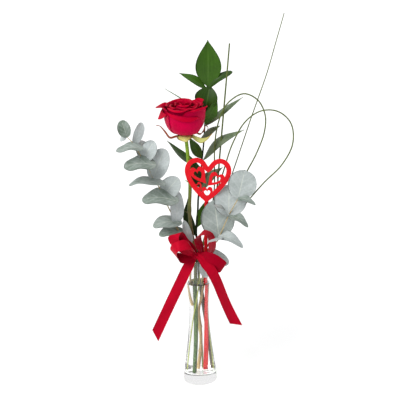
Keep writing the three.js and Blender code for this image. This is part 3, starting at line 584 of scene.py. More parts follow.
# %% Routes in millimetres
FLOOR_END = 15.6
ROSE_ROUTE = [
    (-7.2, -10, FLOOR_END), (-4.6, -6.5, 60), (-3.4, -4.5, 107), (-3.6, -4.1, 150),
    (-2.6, -4.2, 185), (-2.6, -4.2, 200), (-7.1, -3.5, 226), (-9.5, -3, 257.6),
    (-7.8, -3, 297.5), (-9.3, -2.6, 334), (-11.2, -2.8, 360), (-11.9, -3.1, 369.6),
]
RUSCUS_ROUTE = [
    (11.8, 5.6, FLOOR_END), (10.2, 4.6, 45), (7.6, 5, 75), (4.8, 7.4, 104), (3.6, 8.6, 120),
    (2.2, 9.2, 140), (1.2, 8.2, 160), (1.6, 4.8, 188), (1.4, 4.6, 200), (-0.8, 7, 219.4),
    (-0.2, 9, 233.7), (1.9, 11, 252.4), (3.3, 12, 272.9), (6.1, 13, 291.8), (9.8, 16, 327.6),
    (13.2, 18, 356.1), (15.3, 20, 384.5), (17.3, 21, 413), (20.5, 22, 432.7),
]
EUCALYPTUS_LEFT_ROUTE = [
    (-6.2, 2, 116), (-9.6, 1, 135), (-11.2, 0.6, 152), (-9.8, 0.2, 172), (-7.8, -0.4, 190),
    (-8, -1.3, 199.5), (-17.5, -5.6, 217), (-27.6, -9, 236.4), (-34, -12, 257),
    (-40.5, -14, 273.4), (-50.7, -17, 300), (-58.7, -18, 313.5), (-64.9, -20, 331),
    (-71.5, -21, 341.4), (-79.1, -23, 358.1), (-82.9, -24, 365.7), (-92.1, -24, 375.9),
]
EUCALYPTUS_RIGHT_ROUTE = [
    (-1.9, 7, FLOOR_END), (1.1, 6, 53), (1, 5.2, 84), (0, 3.8, 107), (3.2, 3, 132),
    (5.5, 2.4, 150), (7.6, 1.5, 166), (10.6, -0.6, 182), (12.6, -2.4, 191), (14.2, -3.6, 200),
    (20.5, -7, 207.5), (29.5, -12, 218.1), (34.5, -14, 230.7), (45.5, -18, 257.1),
    (58.6, -20, 281.7),
]
LOW_LEAF_STALK = [
    (13.8, -3.2, 194), (15.7, -6.5, 190.2), (14, -9.6, 187), (10.2, -10, 183), (5, -9.6, 184),
]
GRASS_ROUTES = {
    "grass_straight": [
        (14.4, 2.2, FLOOR_END), (13, 1.5, 45), (11, 1.6, 75), (9.2, 3, 107), (8.6, 7.2, 150),
        (9.4, 7.4, 172), (9.6, 7, 196), (17, 7, 225), (26, 6.5, 262), (30.5, 6, 293.6),
        (34.4, 6, 334.6), (37.6, 6, 365), (42, 6, 408.3), (46.2, 6, 449), (51, 6, 496.3),
    ],
    "grass_long": [
        (2.2, 9.5, FLOOR_END), (1.8, 11, 50), (0, 10.5, 75), (-2, 9, 104), (-2.8, 8.8, 130),
        (-3, 9.4, 155), (0, 9.6, 180), (4.4, 9.2, 197), (20, 11, 225), (36, 13.5, 262),
        (49.9, 15, 301.5), (60.2, 15, 331.6), (68.9, 15, 357.1), (79.7, 15, 388.7),
        (88.9, 15, 414.2), (102.4, 15, 452.8), (114.7, 15, 495), (126.1, 15, 534.3),
    ],
    "grass_loop_small": [
        (6.5, 0.5, 180), (7.2, 2.2, 197), (13.5, 2.2, 222), (21, 2.2, 255), (26, 2.5, 290),
        (26.8, 3, 319.6), (27.6, 3, 347.4), (30.2, 3, 370.8), (37.6, 3, 397), (49.5, 3, 415.3),
        (69.6, 3, 425.7), (88.5, 3, 416), (98.3, 3, 394.4), (96.9, 3, 370.2), (85.5, 3, 339.3),
        (72.3, 3, 314), (60, 3, 290), (44, 3, 262), (27, 2.8, 228), (14.4, 2.5, 204),
        (10.8, 2.4, 196), (9.6, 2.6, 182),
    ],
    "grass_loop_large": [
        (-14.2, 1, FLOOR_END), (-11.8, -2.5, 55), (-9.6, -5, 78), (-6.4, -7.4, 104),
        (-3.6, -8.8, 120), (-0.8, -8.2, 138), (1.4, -6.2, 152), (2.6, -4.4, 168),
        (3.8, -4.2, 184), (4.4, -5, 198), (11, -5.2, 222), (20.5, -3, 250), (31, -0.5, 290),
        (38.8, 0, 314), (52.6, 0, 355.4), (71.1, 0, 387), (92.4, 0, 401.3), (115.5, 0, 400.2),
        (133.3, 0, 383.2), (135.9, 0, 353.3), (120.3, 0, 322.5), (95.5, 0, 297.4),
        (66, 0.5, 263), (44, 1.5, 237), (26, 2.8, 217), (13.8, 3.9, 201), (12.6, 4.4, 193),
        (12.2, 4.8, 183),
    ],
}
print("routes of", len(GRASS_ROUTES), "blades of grass, the rose, ruscus and eucalyptus")

# %% [markdown]
# Fresh stalks are never one colour. The grass is a dull olive with darker streaks; the
# eucalyptus twig is tan; the ruscus stem is almost black green. Under water, where the
# leaves were stripped and the stalks cut, they are paler: tan, brown or yellow green.

# %% Finishes for stalks
WET_TO_DRY = (0.14, 0.19)


def stalk_finish(name, pale, dark, wet_pale, wet_dark, roughness):
    """Two colours in streaks. They change between the heights WET_TO_DRY, in metres."""
    finish = Finish(name, roughness, gloss=0.2)
    streaks, patches = finish.streaks("Object", 700.0, 90.0), finish.patches(55.0, 1.2)
    both = finish.calc("MULTIPLY", finish.calc("ADD", streaks, patches), 0.5)
    dry = finish.mix(both, dark, pale)
    wet = finish.mix(both, wet_dark, wet_pale)
    finish.colour(finish.mix(finish.ramp(finish.coordinate("Z"), *WET_TO_DRY), wet, dry))
    finish.bump(streaks, 0.25, 0.0003)
    return finish.material


GRASS_FINISH = stalk_finish(
    "grass", (100, 112, 54), (58, 72, 30), (178, 186, 92), (120, 132, 52), 0.55)
TWIG_FINISH = stalk_finish(
    "eucalyptus twig", (196, 180, 138), (146, 126, 84), (222, 198, 146), (170, 136, 86), 0.6)
RUSCUS_STEM_FINISH = stalk_finish(
    "ruscus stem", (40, 54, 26), (12, 20, 8), (104, 88, 66), (58, 46, 36), 0.45)

# %% [markdown]
# Four thin blades of grass go with the rose. Two stand up, and two are bent over into wide
# loops whose ends go back into the vase. Each is hardly wider than it is thick, so it is
# swept as a rod whose radius changes a little on its way.

# %% Grass
GRASS_RADII = {
    "grass_straight": [0.8, 0.8, 0.9, 1.15, 1.15, 1.0],
    "grass_long": [0.75, 0.75, 0.8, 0.8, 0.7, 0.6],
    "grass_loop_small": [0.8, 0.95, 0.95, 0.95, 0.8],
    "grass_loop_large": [0.75, 0.8, 0.95, 0.95, 0.95, 0.8],
}
for name, route in GRASS_ROUTES.items():
    blade = rod(name + "_blade", route, GRASS_RADII[name], GRASS_FINISH, count=170, sides=10)
    dress(blade, name)

# %% [markdown]
# ## Leaves
# A ruscus leaf is a pointed oval with a rib that it folds along a little; a silver-dollar
# leaf is a round, waxy disc on a short stalk, in pairs up its twig. Each is a grid bent
# along an arch from its stem to its tip. The lists say where each leaf starts and ends,
# how wide it is, which way it faces, and how much it arches.

# %% Outlines of leaves
def pointed(s):
    """A leaf's width s of the way up it, as are the next two."""
    return np.sin(np.pi * s**0.85) ** 1.1


def rounded(s):
    return np.sqrt(np.maximum(0, 1 - (2 * s - 1) ** 2)) ** 0.95


def tapered(s):
    """Broad near the stalk, slender towards a blunt tip."""
    return np.sin(np.pi * s**0.55) ** 0.7 * (1 - 0.4 * s) + 0.26 * s**3 * np.sqrt(1 - s**6)


for outline in (pointed, rounded, tapered):
    widest = int(outline(np.linspace(0, 1, 101)).argmax())
    print(outline.__name__, "leaves are widest", widest, "% of the way up")

# %% Leaf shape
LEAF_ROWS, LEAF_COLUMNS, ARCH_STEPS = 34, 17, 60
LEAF_THICKNESS, LEAF_RIM_THINNER, LEAST_HALF_WIDTH = 0.62, 0.25, 0.5


def leaf_part(start, tip, width, face, arch, tone, outline, fold, seed, via=None, ripple=0.012):
    """One leaf as a closed sheet. Rows crowd towards both ends, where the outline turns.

    Its top looks towards face. arch is its rise half-way, as a share of its length, unless
    via gives the middle itself. fold lifts its edges, and ripple waves them. The seed draws
    how lopsided it is and where the waves start.
    """
    draw = np.random.default_rng(seed)
    start, tip, face = (np.array(v, float) for v in (start, tip, face))
    towards = unit(tip - start)
    out = unit(np.cross(towards, face))
    up = np.cross(out, towards)
    length = np.linalg.norm(tip - start)
    middle = (start + tip) / 2 + up * arch * length if via is None else np.array(via, float)
    line, _, _ = smooth_path([start, middle, tip], ARCH_STEPS)
    s = (1 - np.cos(np.pi * np.linspace(0, 1, LEAF_ROWS))) / 2
    centre = np.column_stack([np.interp(s, np.linspace(0, 1, ARCH_STEPS), c) for c in line.T])
    tangent = unit(np.gradient(centre, axis=0))
    normal = unit(np.cross(np.broadcast_to(out, tangent.shape), tangent))
    sideways = unit(np.cross(tangent, normal))
    half = np.maximum(LEAST_HALF_WIDTH, width * outline(s) / 2)
    v = np.linspace(1, -1, LEAF_COLUMNS)
    lean = 1 + 0.05 * draw.normal()
    reach = half[:, None] * v[None, :] * np.where(v > 0, lean, 2 - lean)
    rise = fold * half[:, None] * np.abs(v) ** 1.4
    rise = rise + ripple * width * v**2 * np.sin(
        2 * np.pi * (1.6 * s[:, None] + 0.5 * np.sign(v)) + draw.uniform(0, 6.3))
    grid = centre[:, None] + sideways[:, None] * reach[..., None] + normal[:, None] * rise[..., None]
    thin = LEAF_THICKNESS - LEAF_RIM_THINNER * np.abs(v) ** 4
    return sheet_part(grid, np.broadcast_to(thin, grid.shape[:2]), tone)


# %% [markdown]
# Ruscus leaves are leathery: a dark green with a low shine above, a paler grey green below,
# and fine lines along them. The tone of each leaf takes it from dark to bright; on the leaf
# behind the heart, its dark tone is painted shade.

# %% Finish: ruscus leaf
def ruscus_leaf_finish():
    finish = Finish("ruscus leaf", 0.38, gloss=0.22)
    streaks, patches = finish.streaks("UV", 34.0, 1.2), finish.patches(60.0)
    rib = finish.group(veins, "UV", Pairs=1.0, Rib=0.035)["Rib"]
    # A low tone darkens the top; on the leaf behind the heart it is painted shade.
    top = finish.mix(finish.value("tone"), (14, 32, 4), (64, 112, 8))
    top = finish.tinted(top, patches, 0.7, (24, 52, 2))
    top = finish.tinted(top, streaks, 0.25, (84, 124, 40))
    under = finish.mix(patches, (76, 94, 66), (116, 130, 102))
    surface = finish.mix(finish.value("face_side"), under, top)
    finish.colour(finish.tinted(surface, rib, 0.2, (110, 140, 70)))
    finish.roughen(patches, 0.32, 0.46)
    finish.bump(finish.calc("SUBTRACT", streaks, rib), 0.22, 0.0004)
    return finish.material


RUSCUS_LEAF_FINISH = ruscus_leaf_finish()

# %% Ruscus sprig
# Each row: where the leaf starts, its tip, width, the way its top faces, arch, and tone
# from 0, a dark leaf, to 1, a bright one. The leaf behind the heart has tone 0 as painted shade.
RUSCUS_LEAVES = [
    ((20.5, 22, 431), (21.5, 28, 496.4), 36, (0.1, -1, 0.1), 0.04, 0.62),
    ((18.6, 21.7, 428), (-19, 32, 449.6), 14, (0.2, -0.6, 0.8), 0.08, 0.5),
    ((20, 22, 430), (54.6, 24, 451.8), 12, (-0.3, -0.7, 0.7), 0.12, 0.12),
    ((23, 22, 433.5), (16, 17, 395), 32, (-0.2, -1, -0.1), 0.06, 0.12),
    ((15.2, 18.7, 378), (33, 15, 415), 17, (0.2, -1, 0.1), 0.08, 0.85),
    ((14.9, 18.5, 376), (68, 9, 419), 14, (0.5, 0.4, -0.8), -0.04, 0.3),
    ((15.6, 20.5, 388.9), (-40, 46, 424), 8, (0.1, 0.25, 1), 0.02, 1.0),
    ((10.6, 16, 326.4), (69, 10, 371.8), 17, (0.4, 0.5, -0.75), -0.16, 0.3),
    ((9.5, 16.5, 360), (36, 8.5, 379), 13, (0.3, 0.5, -0.8), -0.08, 0.3),
    ((9, 14.5, 330.2), (-7.4, 8, 364), 14, (0.1, -1, 0.2), 0.06, 0.62),
    ((8.3, 15, 315.5), (-38.3, 12, 358.2), 20, (0.2, -0.3, 1), -0.06, 0.4),
    # This leaf lies in shadow behind the heart: its tone of 0 is painted shade.
    ((5.9, 13, 288.8), (-8.5, 8, 332.5), 27, (0.1, -1, 0.2), 0.06, 0.0),
    ((4.5, 12.4, 280.5), (38.3, 9.4, 318), 15.5, (0.3, 0.9, -0.4), 0.05, 0.3),
    ((-0.3, 8.7, 229.4), (17.6, 8.6, 273.9), 15, (0.1, -1, 0.1), -0.05, 0.85),
    ((-0.8, 7, 216.5), (-11.6, 9, 273), 14, (0.3, -1, 0.1), -0.06, 0.0),
]
# Leaves that bow, with their middle points; the one leaf with a round outline; the fold.
VIA = {12: (16, 11, 301.5), 14: (-13.2, 8, 247)}
ROUND_LEAF, RUSCUS_FOLD = 2, 0.2
ruscus_leaves = mesh_piece(
    "ruscus_leaves",
    [leaf_part(*leaf, rounded if k == ROUND_LEAF else pointed, RUSCUS_FOLD, k, via=VIA.get(k))
     for k, leaf in enumerate(RUSCUS_LEAVES)],
    RUSCUS_LEAF_FINISH,
)
ruscus_stem = rod("ruscus_stalk", RUSCUS_ROUTE, [1.8, 1.5, 0.9], RUSCUS_STEM_FINISH, count=200)
dress(fuse("ruscus_sprig", [ruscus_leaves, ruscus_stem]), "ruscus_spray")

# %% [markdown]
# Silver-dollar leaves wear a pale wax, thin in places, so that the green shows through.
# On the left sprig, level leaves cross in front of the twig and others stand up behind
# them. On the right one, three large round leaves stand up, and smaller ones bend away,
# some of them slender. Its lowest leaf hangs in the neck of the vase.

# %% Finish: eucalyptus leaf
def eucalyptus_leaf_finish():
    finish = Finish("eucalyptus leaf", 0.75, gloss=0.12)
    lines = finish.group(veins, "UV", Pairs=6.0, Slant=1.8, Rib=0.02)
    wax, freckles = finish.patches(75.0, 1.1), finish.patches(420.0, 1.3)
    base = finish.mix(finish.value("tone"), (74, 92, 74), (182, 187, 190))
    base = finish.tinted(base, wax, 0.45, (196, 202, 202))
    base = finish.tinted(base, freckles, 0.3, (112, 130, 112))
    base = finish.tinted(base, lines["Veins"], 0.14, (212, 220, 216))
    finish.colour(finish.tinted(base, lines["Rib"], 0.5, (216, 220, 204)))
    finish.roughen(wax, 0.62, 0.85)
    finish.bump(finish.calc("ADD", wax, finish.calc("MULTIPLY", lines["Rib"], -1.5)), 0.2, 0.0006)
    return finish.material


EUCALYPTUS_LEAF_FINISH = eucalyptus_leaf_finish()

# %% Eucalyptus leaves
# Each row: where the leaf starts, its tip, width, the way its top faces, arch, and tone
# from 0, a green leaf, to 1, a waxy one.
EUCALYPTUS_LEFT_LEAVES = [
    ((-92.1, -24, 375.9), (-98.7, -24, 399.6), 18, (0.1, -1, 0.1), 0.06, 0.0),
    ((-92.1, -22, 375.9), (-102, -16, 370), 10, (0.3, -0.7, 0.7), 0.08, 0.9),
    ((-82.9, -23, 365.7), (-72, -18, 394.3), 15, (0.4, -0.9, 0), 0.08, 0.9),
    ((-69.5, -33, 361.5), (-107.2, -29, 357.5), 22, (0, -0.25, 1), 0.1, 0.25),
    ((-71.5, -20, 341.4), (-55.4, -23, 368.6), 23, (-0.3, -0.9, 0.1), 0.08, 0.85),
    ((-71.5, -20, 341.4), (-74.4, -8, 366), 21, (0.5, -0.8, 0.3), 0.08, 0.7),
    ((-53, -33, 337.5), (-97.2, -27, 334.5), 31, (0.05, -0.4, 0.92), 0.1, 0.15),
    ((-58.7, -18, 312.6), (-41.5, -18, 355.6), 29, (-0.1, -1, 0), 0.06, 0.85),
    ((-41, -30, 306.5), (-91.9, -24, 307), 25, (0, -0.12, 1), 0.12, 0.35),
    ((-45.7, -15, 286.4), (-24, -20, 313.8), 28, (-0.2, -0.95, 0.2), 0.06, 0.75),
    ((-24, -28, 282), (-74.5, -22, 284.5), 31, (0.05, -0.45, 0.88), 0.12, 0.15),
    ((-28.5, -11, 243), (-27, -14, 293), 20, (0.3, -0.95, 0), 0.08, 0.95),
    ((-20.5, -13, 245), (-61, -14, 242.6), 25, (0, -0.42, 0.9), 0.12, 0.3),
    ((-18, -9, 230), (-53, -12, 228.6), 22, (0, -0.4, 0.92), 0.1, 0.1),
    ((-8, -3, 204), (-17.5, -8.5, 247.2), 12, (0.2, -1, 0), 0.06, 0.7),
]
EUCALYPTUS_RIGHT_LEAVES = [
    ((58.6, -19, 281), (68.6, -16, 321.4), 40, (0, -1, 0), -0.04, 0.7),
    ((58.3, -20.5, 282.3), (82, -25, 273.2), 17, (0.35, -0.4, 0.85), 0.14, 0.15),
    ((45, -19.5, 256), (46.5, -5, 296.8), 46, (0, -1, 0.1), -0.04, 0.8),
    ((45, -20, 257.1), (71.4, -24, 240.4), 20, (0.25, -0.5, 0.8), 0.16, 0.2),
    ((44.5, -19, 257.5), (24.4, -30, 275.5), 14, (0.3, -0.12, 0.95), 0.1, 0.6),
    ((31, -13, 222), (25.8, -11, 276.5), 48, (0.12, -1, 0), -0.04, 0.45),
    ((31, -14, 226), (63.8, -20, 208.6), 20, (0.1, -0.6, 0.8), 0.18, 0.75),
    ((14.6, -3.9, 200.6), (43.5, -3, 178), 17, (0.1, -1, 0.3), 0.08, 0.6),
    ((4.5, -9.5, 184), (12.6, -7, 160.5), 14, (0.4, -0.9, 0), 0, 0.9),
]
EDGE_ON_LEAF = ((31, -13, 222.5), (15, -34, 223.5), 13, (0, 0.3, 0.95), 0, 0.9)
print(len(EUCALYPTUS_LEFT_LEAVES), "leaves on the left,", len(EUCALYPTUS_RIGHT_LEAVES) + 1, "on the right")

# %% Eucalyptus sprigs
LEFT_SEED, RIGHT_SEED, EDGE_ON_SEED = 40, 80, 99
# A leaf of the right sprig that arches more than this is a slender one.
SLENDER_ARCH = 0.1


def eucalyptus_sprig(name, node, leaves, stalks):
    blades = mesh_piece(name + " blades", leaves, EUCALYPTUS_LEAF_FINISH)
    dress(fuse(name, [blades, *stalks]), node)


left_leaves = [
    leaf_part(*leaf, rounded, 0.16, LEFT_SEED + k, ripple=0.045)
    for k, leaf in enumerate(EUCALYPTUS_LEFT_LEAVES)
]
left_twig = rod("left twig", EUCALYPTUS_LEFT_ROUTE, [1.6, 0.85, 0.45], TWIG_FINISH, count=160)
eucalyptus_sprig("eucalyptus_left_sprig", "eucalyptus_left", left_leaves, [left_twig])

right_leaves = []
for k, leaf in enumerate(EUCALYPTUS_RIGHT_LEAVES):
    arch = leaf[4]
    outline = tapered if arch > SLENDER_ARCH else rounded
    right_leaves.append(leaf_part(*leaf, outline, 0.12 + arch, RIGHT_SEED + k, ripple=0.03))
right_leaves.append(leaf_part(*EDGE_ON_LEAF, rounded, 0.12, EDGE_ON_SEED, via=(28.5, -29, 225)))
right_twig = rod(
    "right twig", EUCALYPTUS_RIGHT_ROUTE, [1.7, 1.0, 0.6], TWIG_FINISH, count=300,
    swellings=[(0.1, 0.6, 0.006), (0.235, 0.6, 0.006), (0.4, 0.5, 0.006)])
low_stalk = rod("low stalk", LOW_LEAF_STALK, [0.9, 0.7], TWIG_FINISH, count=24)
eucalyptus_sprig("eucalyptus_right_sprig", "eucalyptus_right", right_leaves, [right_twig, low_stalk])

# %% [markdown]
# ## The rose's stem and sepals
# The stem is bright green near the bloom and browner lower down, with a few nodes and
# thorns. The sepals are the small green leaves that once wrapped the bud; on an open
# rose they bend out and down, with reddish edges.

# %% Finishes for the stem and sepals
# In metres: heights between which one look gives way to the next, and, for the patches
# of brown painted shade on the stem's right side, away from the sun, the places from left to right.
STEM_WET_TO_DRY, STEM_BROWN_TO_GREEN = (0.14, 0.18), (0.25, 0.33)
SHADE_BROWN_HEIGHTS, SHADE_BROWN_SIDE = (0.19, 0.22), (-0.0095, -0.006)


def rose_stem_finish():
    """From the bottom up: wet and dark, then brown, then a fresh green."""
    finish = Finish("rose stem", 0.45)
    height = finish.coordinate("Z")
    streaks, patches = finish.streaks("Object", 500.0, 500.0), finish.patches(50.0, 1.2)
    wet = finish.mix(patches, (44, 72, 34), (70, 98, 46))
    brown = finish.mix(patches, (74, 76, 34), (108, 100, 52))
    green = finish.mix(streaks, (102, 138, 22), (132, 164, 44))
    dry = finish.mix(finish.ramp(height, *STEM_BROWN_TO_GREEN), brown, green)
    colour = finish.mix(finish.ramp(height, *STEM_WET_TO_DRY), wet, dry)
    # Brown patches on the stem's right side, away from the sun, are painted shade.
    side = finish.ramp(finish.coordinate("X"), *SHADE_BROWN_SIDE)
    brown_shade = finish.calc("MULTIPLY", side, finish.calc("MULTIPLY", patches, 0.7))
    brown_shade = finish.calc("MULTIPLY", brown_shade, finish.ramp(height, *SHADE_BROWN_HEIGHTS))
    finish.colour(finish.mix(brown_shade, colour, (112, 66, 30)))
    finish.bump(streaks, 0.2, 0.0004)
    return finish.material


def sepal_finish():
    """A pale green with reddish edges and tip. Its tone takes it to brown."""
    finish = Finish("sepal", 0.5)
    streaks = finish.streaks("UV", 22.0, 2.0)
    across, along = finish.coordinate("X", "UV"), finish.coordinate("Y", "UV")
    edge = finish.ramp(finish.calc("ABSOLUTE", finish.calc("SUBTRACT", across, 0.5)), 0.3, 0.5)
    tip = finish.ramp(along, 0.45, 1.0)
    green = finish.mix(streaks, (190, 206, 96), (226, 232, 152))
    red = finish.calc("MULTIPLY", finish.calc("ADD", edge, tip), 0.4, clamp=True)
    edged = finish.mix(red, green, (150, 78, 40))
    finish.colour(finish.mix(finish.value("tone"), edged, (146, 72, 40)))
    finish.bump(streaks, 0.25, 0.0003)
    return finish.material


STEM_FINISH, SEPAL_FINISH = rose_stem_finish(), sepal_finish()

# %% Stem, calyx and thorns
stem = rod(
    "rose stalk", ROSE_ROUTE, [2.6, 2.55, 2.5], STEM_FINISH, count=260, sides=24,
    swellings=[(0.695, 0.5, 0.012), (0.48, 0.35, 0.01), (0.86, 0.25, 0.01)],
)


def shift(piece, to, turn=Matrix()):
    """Turns and moves the points of a piece. Its object stays at the origin."""
    piece.data.transform(Matrix.Translation(Vector(to) * MM) @ turn)


def spike(root, point, radius):
    """A thorn: a short rod that thins to its point and sags a little."""
    middle = (np.array(root) + np.array(point)) / 2 + np.array((0, 0, -0.5))
    radii = [radius, radius * 0.45, 0.3]
    return rod("spike", [root, middle, point], radii, STEM_FINISH, count=16, sides=12)


CALYX = [(0, -8), (2.7, -6), (4.6, -3), (5.2, 0), (4.4, 1.8), (0, 2.4)]
CALYX_PLACE = (-11.9, -3.2, 371)
calyx = lathe("calyx", CALYX, 32, STEM_FINISH, rows=40)
shift(calyx, CALYX_PLACE)
thorns = [
    spike((-8, -3, 301), (-14.6, -3.6, 305.5), 1.6),
    spike((-9, -3, 256.5), (-17.6, -2.4, 259.4), 1.3),
]
print("the stem has", len(thorns), "thorns")

# %% [markdown]
# A sepal is a strip: it follows a route and, at each of its points, has a direction across
# it, so that it can twist. The same helper makes the stick and every run of the ribbon.

# %% Strips along a route
SLANT_FROM = 0.6


def strip_part(route, across, widths, thickness, rows, columns,
               cup=0.0, tone=0.5, shape=None, slant=0.0):
    """A strip along a route. across is the direction over its width at each route point.

    cup lifts both its edges and shape adds folds. slant makes one edge longer than the
    other by that many mm, for an end cut at an angle. Returns the strip and its length.
    """
    line, out, length = smooth_path(route, rows, across)
    out = unit(out)
    tangent = unit(np.gradient(line, axis=0))
    face = unit(np.cross(out, tangent))
    s = np.linspace(0, 1, rows)
    v = np.linspace(-1, 1, columns)
    reach = (widths(s) / 2)[:, None] * v[None, :]
    rise = cup * np.abs(reach)
    if shape is not None:
        rise = rise + shape(s[:, None], v[None, :])
    grid = line[:, None] + out[:, None] * reach[..., None] + face[:, None] * rise[..., None]
    late = np.clip((s - SLANT_FROM) / (1 - SLANT_FROM), 0, 1) ** 2 * slant / 2
    grid = grid + tangent[:, None] * (late[:, None] * v[None, :])[..., None]
    return sheet_part(grid, thickness, tone), length


# %% Sepals
# Each row: its route, the direction across it at each point, its width, how brown it is,
# and how blunt.
SEPALS = [
    ([(-14, -5, 371), (-18.4, -6.5, 371.2), (-26, -9, 370.6), (-33.4, -12, 370),
      (-41, -13, 380.2), (-47.1, -14, 387.4), (-52, -15, 389)],
     [(0, -0.4, 0.9), (0, -0.4, 0.9), (0, -0.4, 0.9), (0.2, -0.4, 0.9), (0.75, -0.3, 0.6),
      (0.7, -0.3, 0.65), (0.2, -0.3, 0.9)], 4.2, 1.0, 1.5),
    ([(-12, -5, 373), (-13, -12, 373), (-13.2, -17, 371.6), (-12.6, -20.5, 369.4),
      (-10.8, -22.5, 366.2)],
     [(1, 0, 0), (1, 0, 0.05), (1, 0, 0.1), (1, 0.1, 0.1), (1, 0.2, 0.2)], 23, 0.0, 3.5),
    ([(-9, -5, 372), (-5, -9, 371.5), (1.5, -12, 367.6), (9.9, -14, 365.2),
      (18.6, -14, 368.4), (24.6, -15, 375)],
     [(0.3, -0.7, -0.6), (0.35, -0.7, -0.7), (0.25, -0.6, -0.8), (0, -0.5, -0.87),
      (-0.3, -0.5, -0.8), (-0.5, -0.5, -0.6)], 10.5, 0.1, 1.6),
    ([(-8, 0, 371), (2, 2, 371.5), (8.6, 3, 369.4), (13.4, 5, 374), (15.6, 5.4, 380.4),
      (19, 6, 378.4), (18.6, 6, 374.6)],
     [(0, -0.4, 0.9), (0, -0.4, 0.9), (0.1, -0.4, 0.9), (0.85, -0.4, -0.2), (0.7, -0.5, 0.4),
      (0.3, -0.5, 0.8), (0.9, -0.4, 0)], 3.4, 0.95, 2),
    ([(-13, 0, 371), (-18, 8, 371.5), (-23, 16, 367.5)],
     [(0.8, 0.5, 0), (0.8, 0.5, 0), (0.8, 0.5, 0.1)], 8, 0.3, 1.5),
]
SEPAL_THICKNESS, LEAST_SEPAL_WIDTH = 0.7, 0.9


def sepal_width(width, blunt):
    """The width along a sepal. It closes to a tip, and later where blunt is large."""
    def along(s):
        belly = 0.75 + 0.25 * np.sin(np.pi * s)
        return np.maximum(LEAST_SEPAL_WIDTH, width * belly * (1 - s**blunt) ** 0.7)

    return along


sepal_parts = []
for route, across, width, brown, blunt in SEPALS:
    widths = sepal_width(width, blunt)
    part, _ = strip_part(route, across, widths, SEPAL_THICKNESS, 40, 9, cup=0.2, tone=brown)
    sepal_parts.append(part)
sepals = mesh_piece("sepals", sepal_parts, SEPAL_FINISH)
dress(fuse("rose_stalk", [stem, calyx, *thorns, sepals]), "rose_stem")

# %% [markdown]
# ## The bloom
# The open rose is a cup of broad outer petals whose rims roll outward into points. Inside
# them some fifteen petals stand in a spiral, each turned by the golden angle from the one
# before and a little smaller, with rims rolled outward too, so that from the side only
# bright rims and dark gaps show. The outer six are shaped one by one; Geometry Nodes
# place the inner ones as copies of one petal.

# %% Shape of one petal
PETAL_ROWS, PETAL_COLUMNS, PETAL_STEPS = 44, 40, 90
PETAL_THICKNESS, PETAL_RIM_THINNER = 0.75, 0.35


def petal_grid(spread, outline, point=0.0, peak=0.0, tilt=0.0, wave=0.0, phase=0.0):
    """A petal that faces +X. outline goes from its base over the rolled rim, in mm.

    spread is how far it wraps to each side in degrees. Its rim sticks out by point at peak,
    from -1 to 1 across it, and tilt raises its counter-clockwise side. wave is the height
    of the ripples in its rim, and phase shifts them.
    """
    line = smooth_outline(outline, PETAL_STEPS)
    u = (np.linspace(0, 1, PETAL_ROWS) ** 0.85)[:, None]
    v = np.linspace(-1, 1, PETAL_COLUMNS)[None, :]
    reach = u * (1 - 0.2 * np.abs(v) ** 2.4)
    radius, height = (np.interp(reach, np.linspace(0, 1, PETAL_STEPS), c) for c in line.T)
    tip = point * u**6 * np.exp(-(((v - peak) / 0.3) ** 2))
    late = u**4
    radius = radius * (1 + 0.05 * v) + tip + wave * late * np.sin(5 * v + phase)
    height = height - 0.3 * tip + 0.8 * wave * late * np.cos(6 * v + 2 * phase) + tilt * v * u**2
    angle = np.radians(v * spread) * (0.55 + 0.45 * np.sin(np.pi / 2 * np.minimum(1, 1.6 * u)))
    return np.stack([radius * np.cos(angle), radius * np.sin(angle), height + 0 * angle], -1)


def petal_part(grid, turn):
    """The closed sheet of a petal, turned about +Z by turn degrees and thin at its rim."""
    c, n = math.cos(math.radians(turn)), math.sin(math.radians(turn))
    turned = grid @ np.array([(c, n, 0), (-n, c, 0), (0, 0, 1)])
    u = np.linspace(0, 1, grid.shape[0])[:, None]
    thin = PETAL_THICKNESS - PETAL_RIM_THINNER * u**6 + np.zeros(grid.shape[:2])
    return sheet_part(turned, thin)


# %% Tree: a spiral of petals
def petal_spiral_tree():
    tree, given, result = new_tree("spiral of petals", {
        "Count": 15, "First angle": 0.0, "Turn": 2.4, "Largest": 1.0, "Smallest": 0.15,
        "Rise": 0.1, "Jitter": 0.05, "Seed": 1,
    })
    make = tree.nodes.new
    line, copies = make("GeometryNodeMeshLine"), make("GeometryNodeInstanceOnPoints")
    number = make("GeometryNodeInputIndex").outputs[0]
    line.inputs["Offset"].default_value = (0, 0, 0)
    wire(tree, given["Count"], line.inputs["Count"])

    def add(first, second):
        return calc(tree, "ADD", first, second)

    def times(first, second):
        return calc(tree, "MULTIPLY", first, second)

    def jitter(shift_of_seed):
        """A random number for each petal, from minus to plus Jitter."""
        draw = make("FunctionNodeRandomValue")
        draw.data_type = "FLOAT"
        low, high = [socket for socket in draw.inputs if socket.type == "VALUE"][:2]
        low.default_value, high.default_value = -1.0, 1.0
        wire(tree, add(given["Seed"], shift_of_seed), draw.inputs["Seed"])
        value = next(socket for socket in draw.outputs if socket.enabled)
        return times(value, given["Jitter"])

    share = calc(tree, "DIVIDE", number, calc(tree, "SUBTRACT", given["Count"], 1))
    shrink = times(share, calc(tree, "SUBTRACT", given["Smallest"], given["Largest"]))
    across = times(add(given["Largest"], shrink), add(jitter(7), 1))
    tall = add(times(share, given["Rise"]), add(1, times(jitter(13), 0.4)))
    turn = add(times(number, given["Turn"]), add(given["First angle"], times(jitter(0), 3)))
    turned, size = make("ShaderNodeCombineXYZ"), make("ShaderNodeCombineXYZ")
    wire(tree, jitter(21), turned.inputs["Y"])
    wire(tree, turn, turned.inputs["Z"])
    for axis, value in (("X", across), ("Y", across), ("Z", tall)):
        wire(tree, value, size.inputs[axis])
    wire(tree, line.outputs[0], copies.inputs["Points"])
    wire(tree, given["Geometry"], copies.inputs["Instance"])
    wire(tree, turned.outputs[0], copies.inputs["Rotation"])
    wire(tree, size.outputs[0], copies.inputs["Scale"])
    return end_tree(tree, copies.outputs[0], given, result)


PETAL_SPIRAL = petal_spiral_tree()
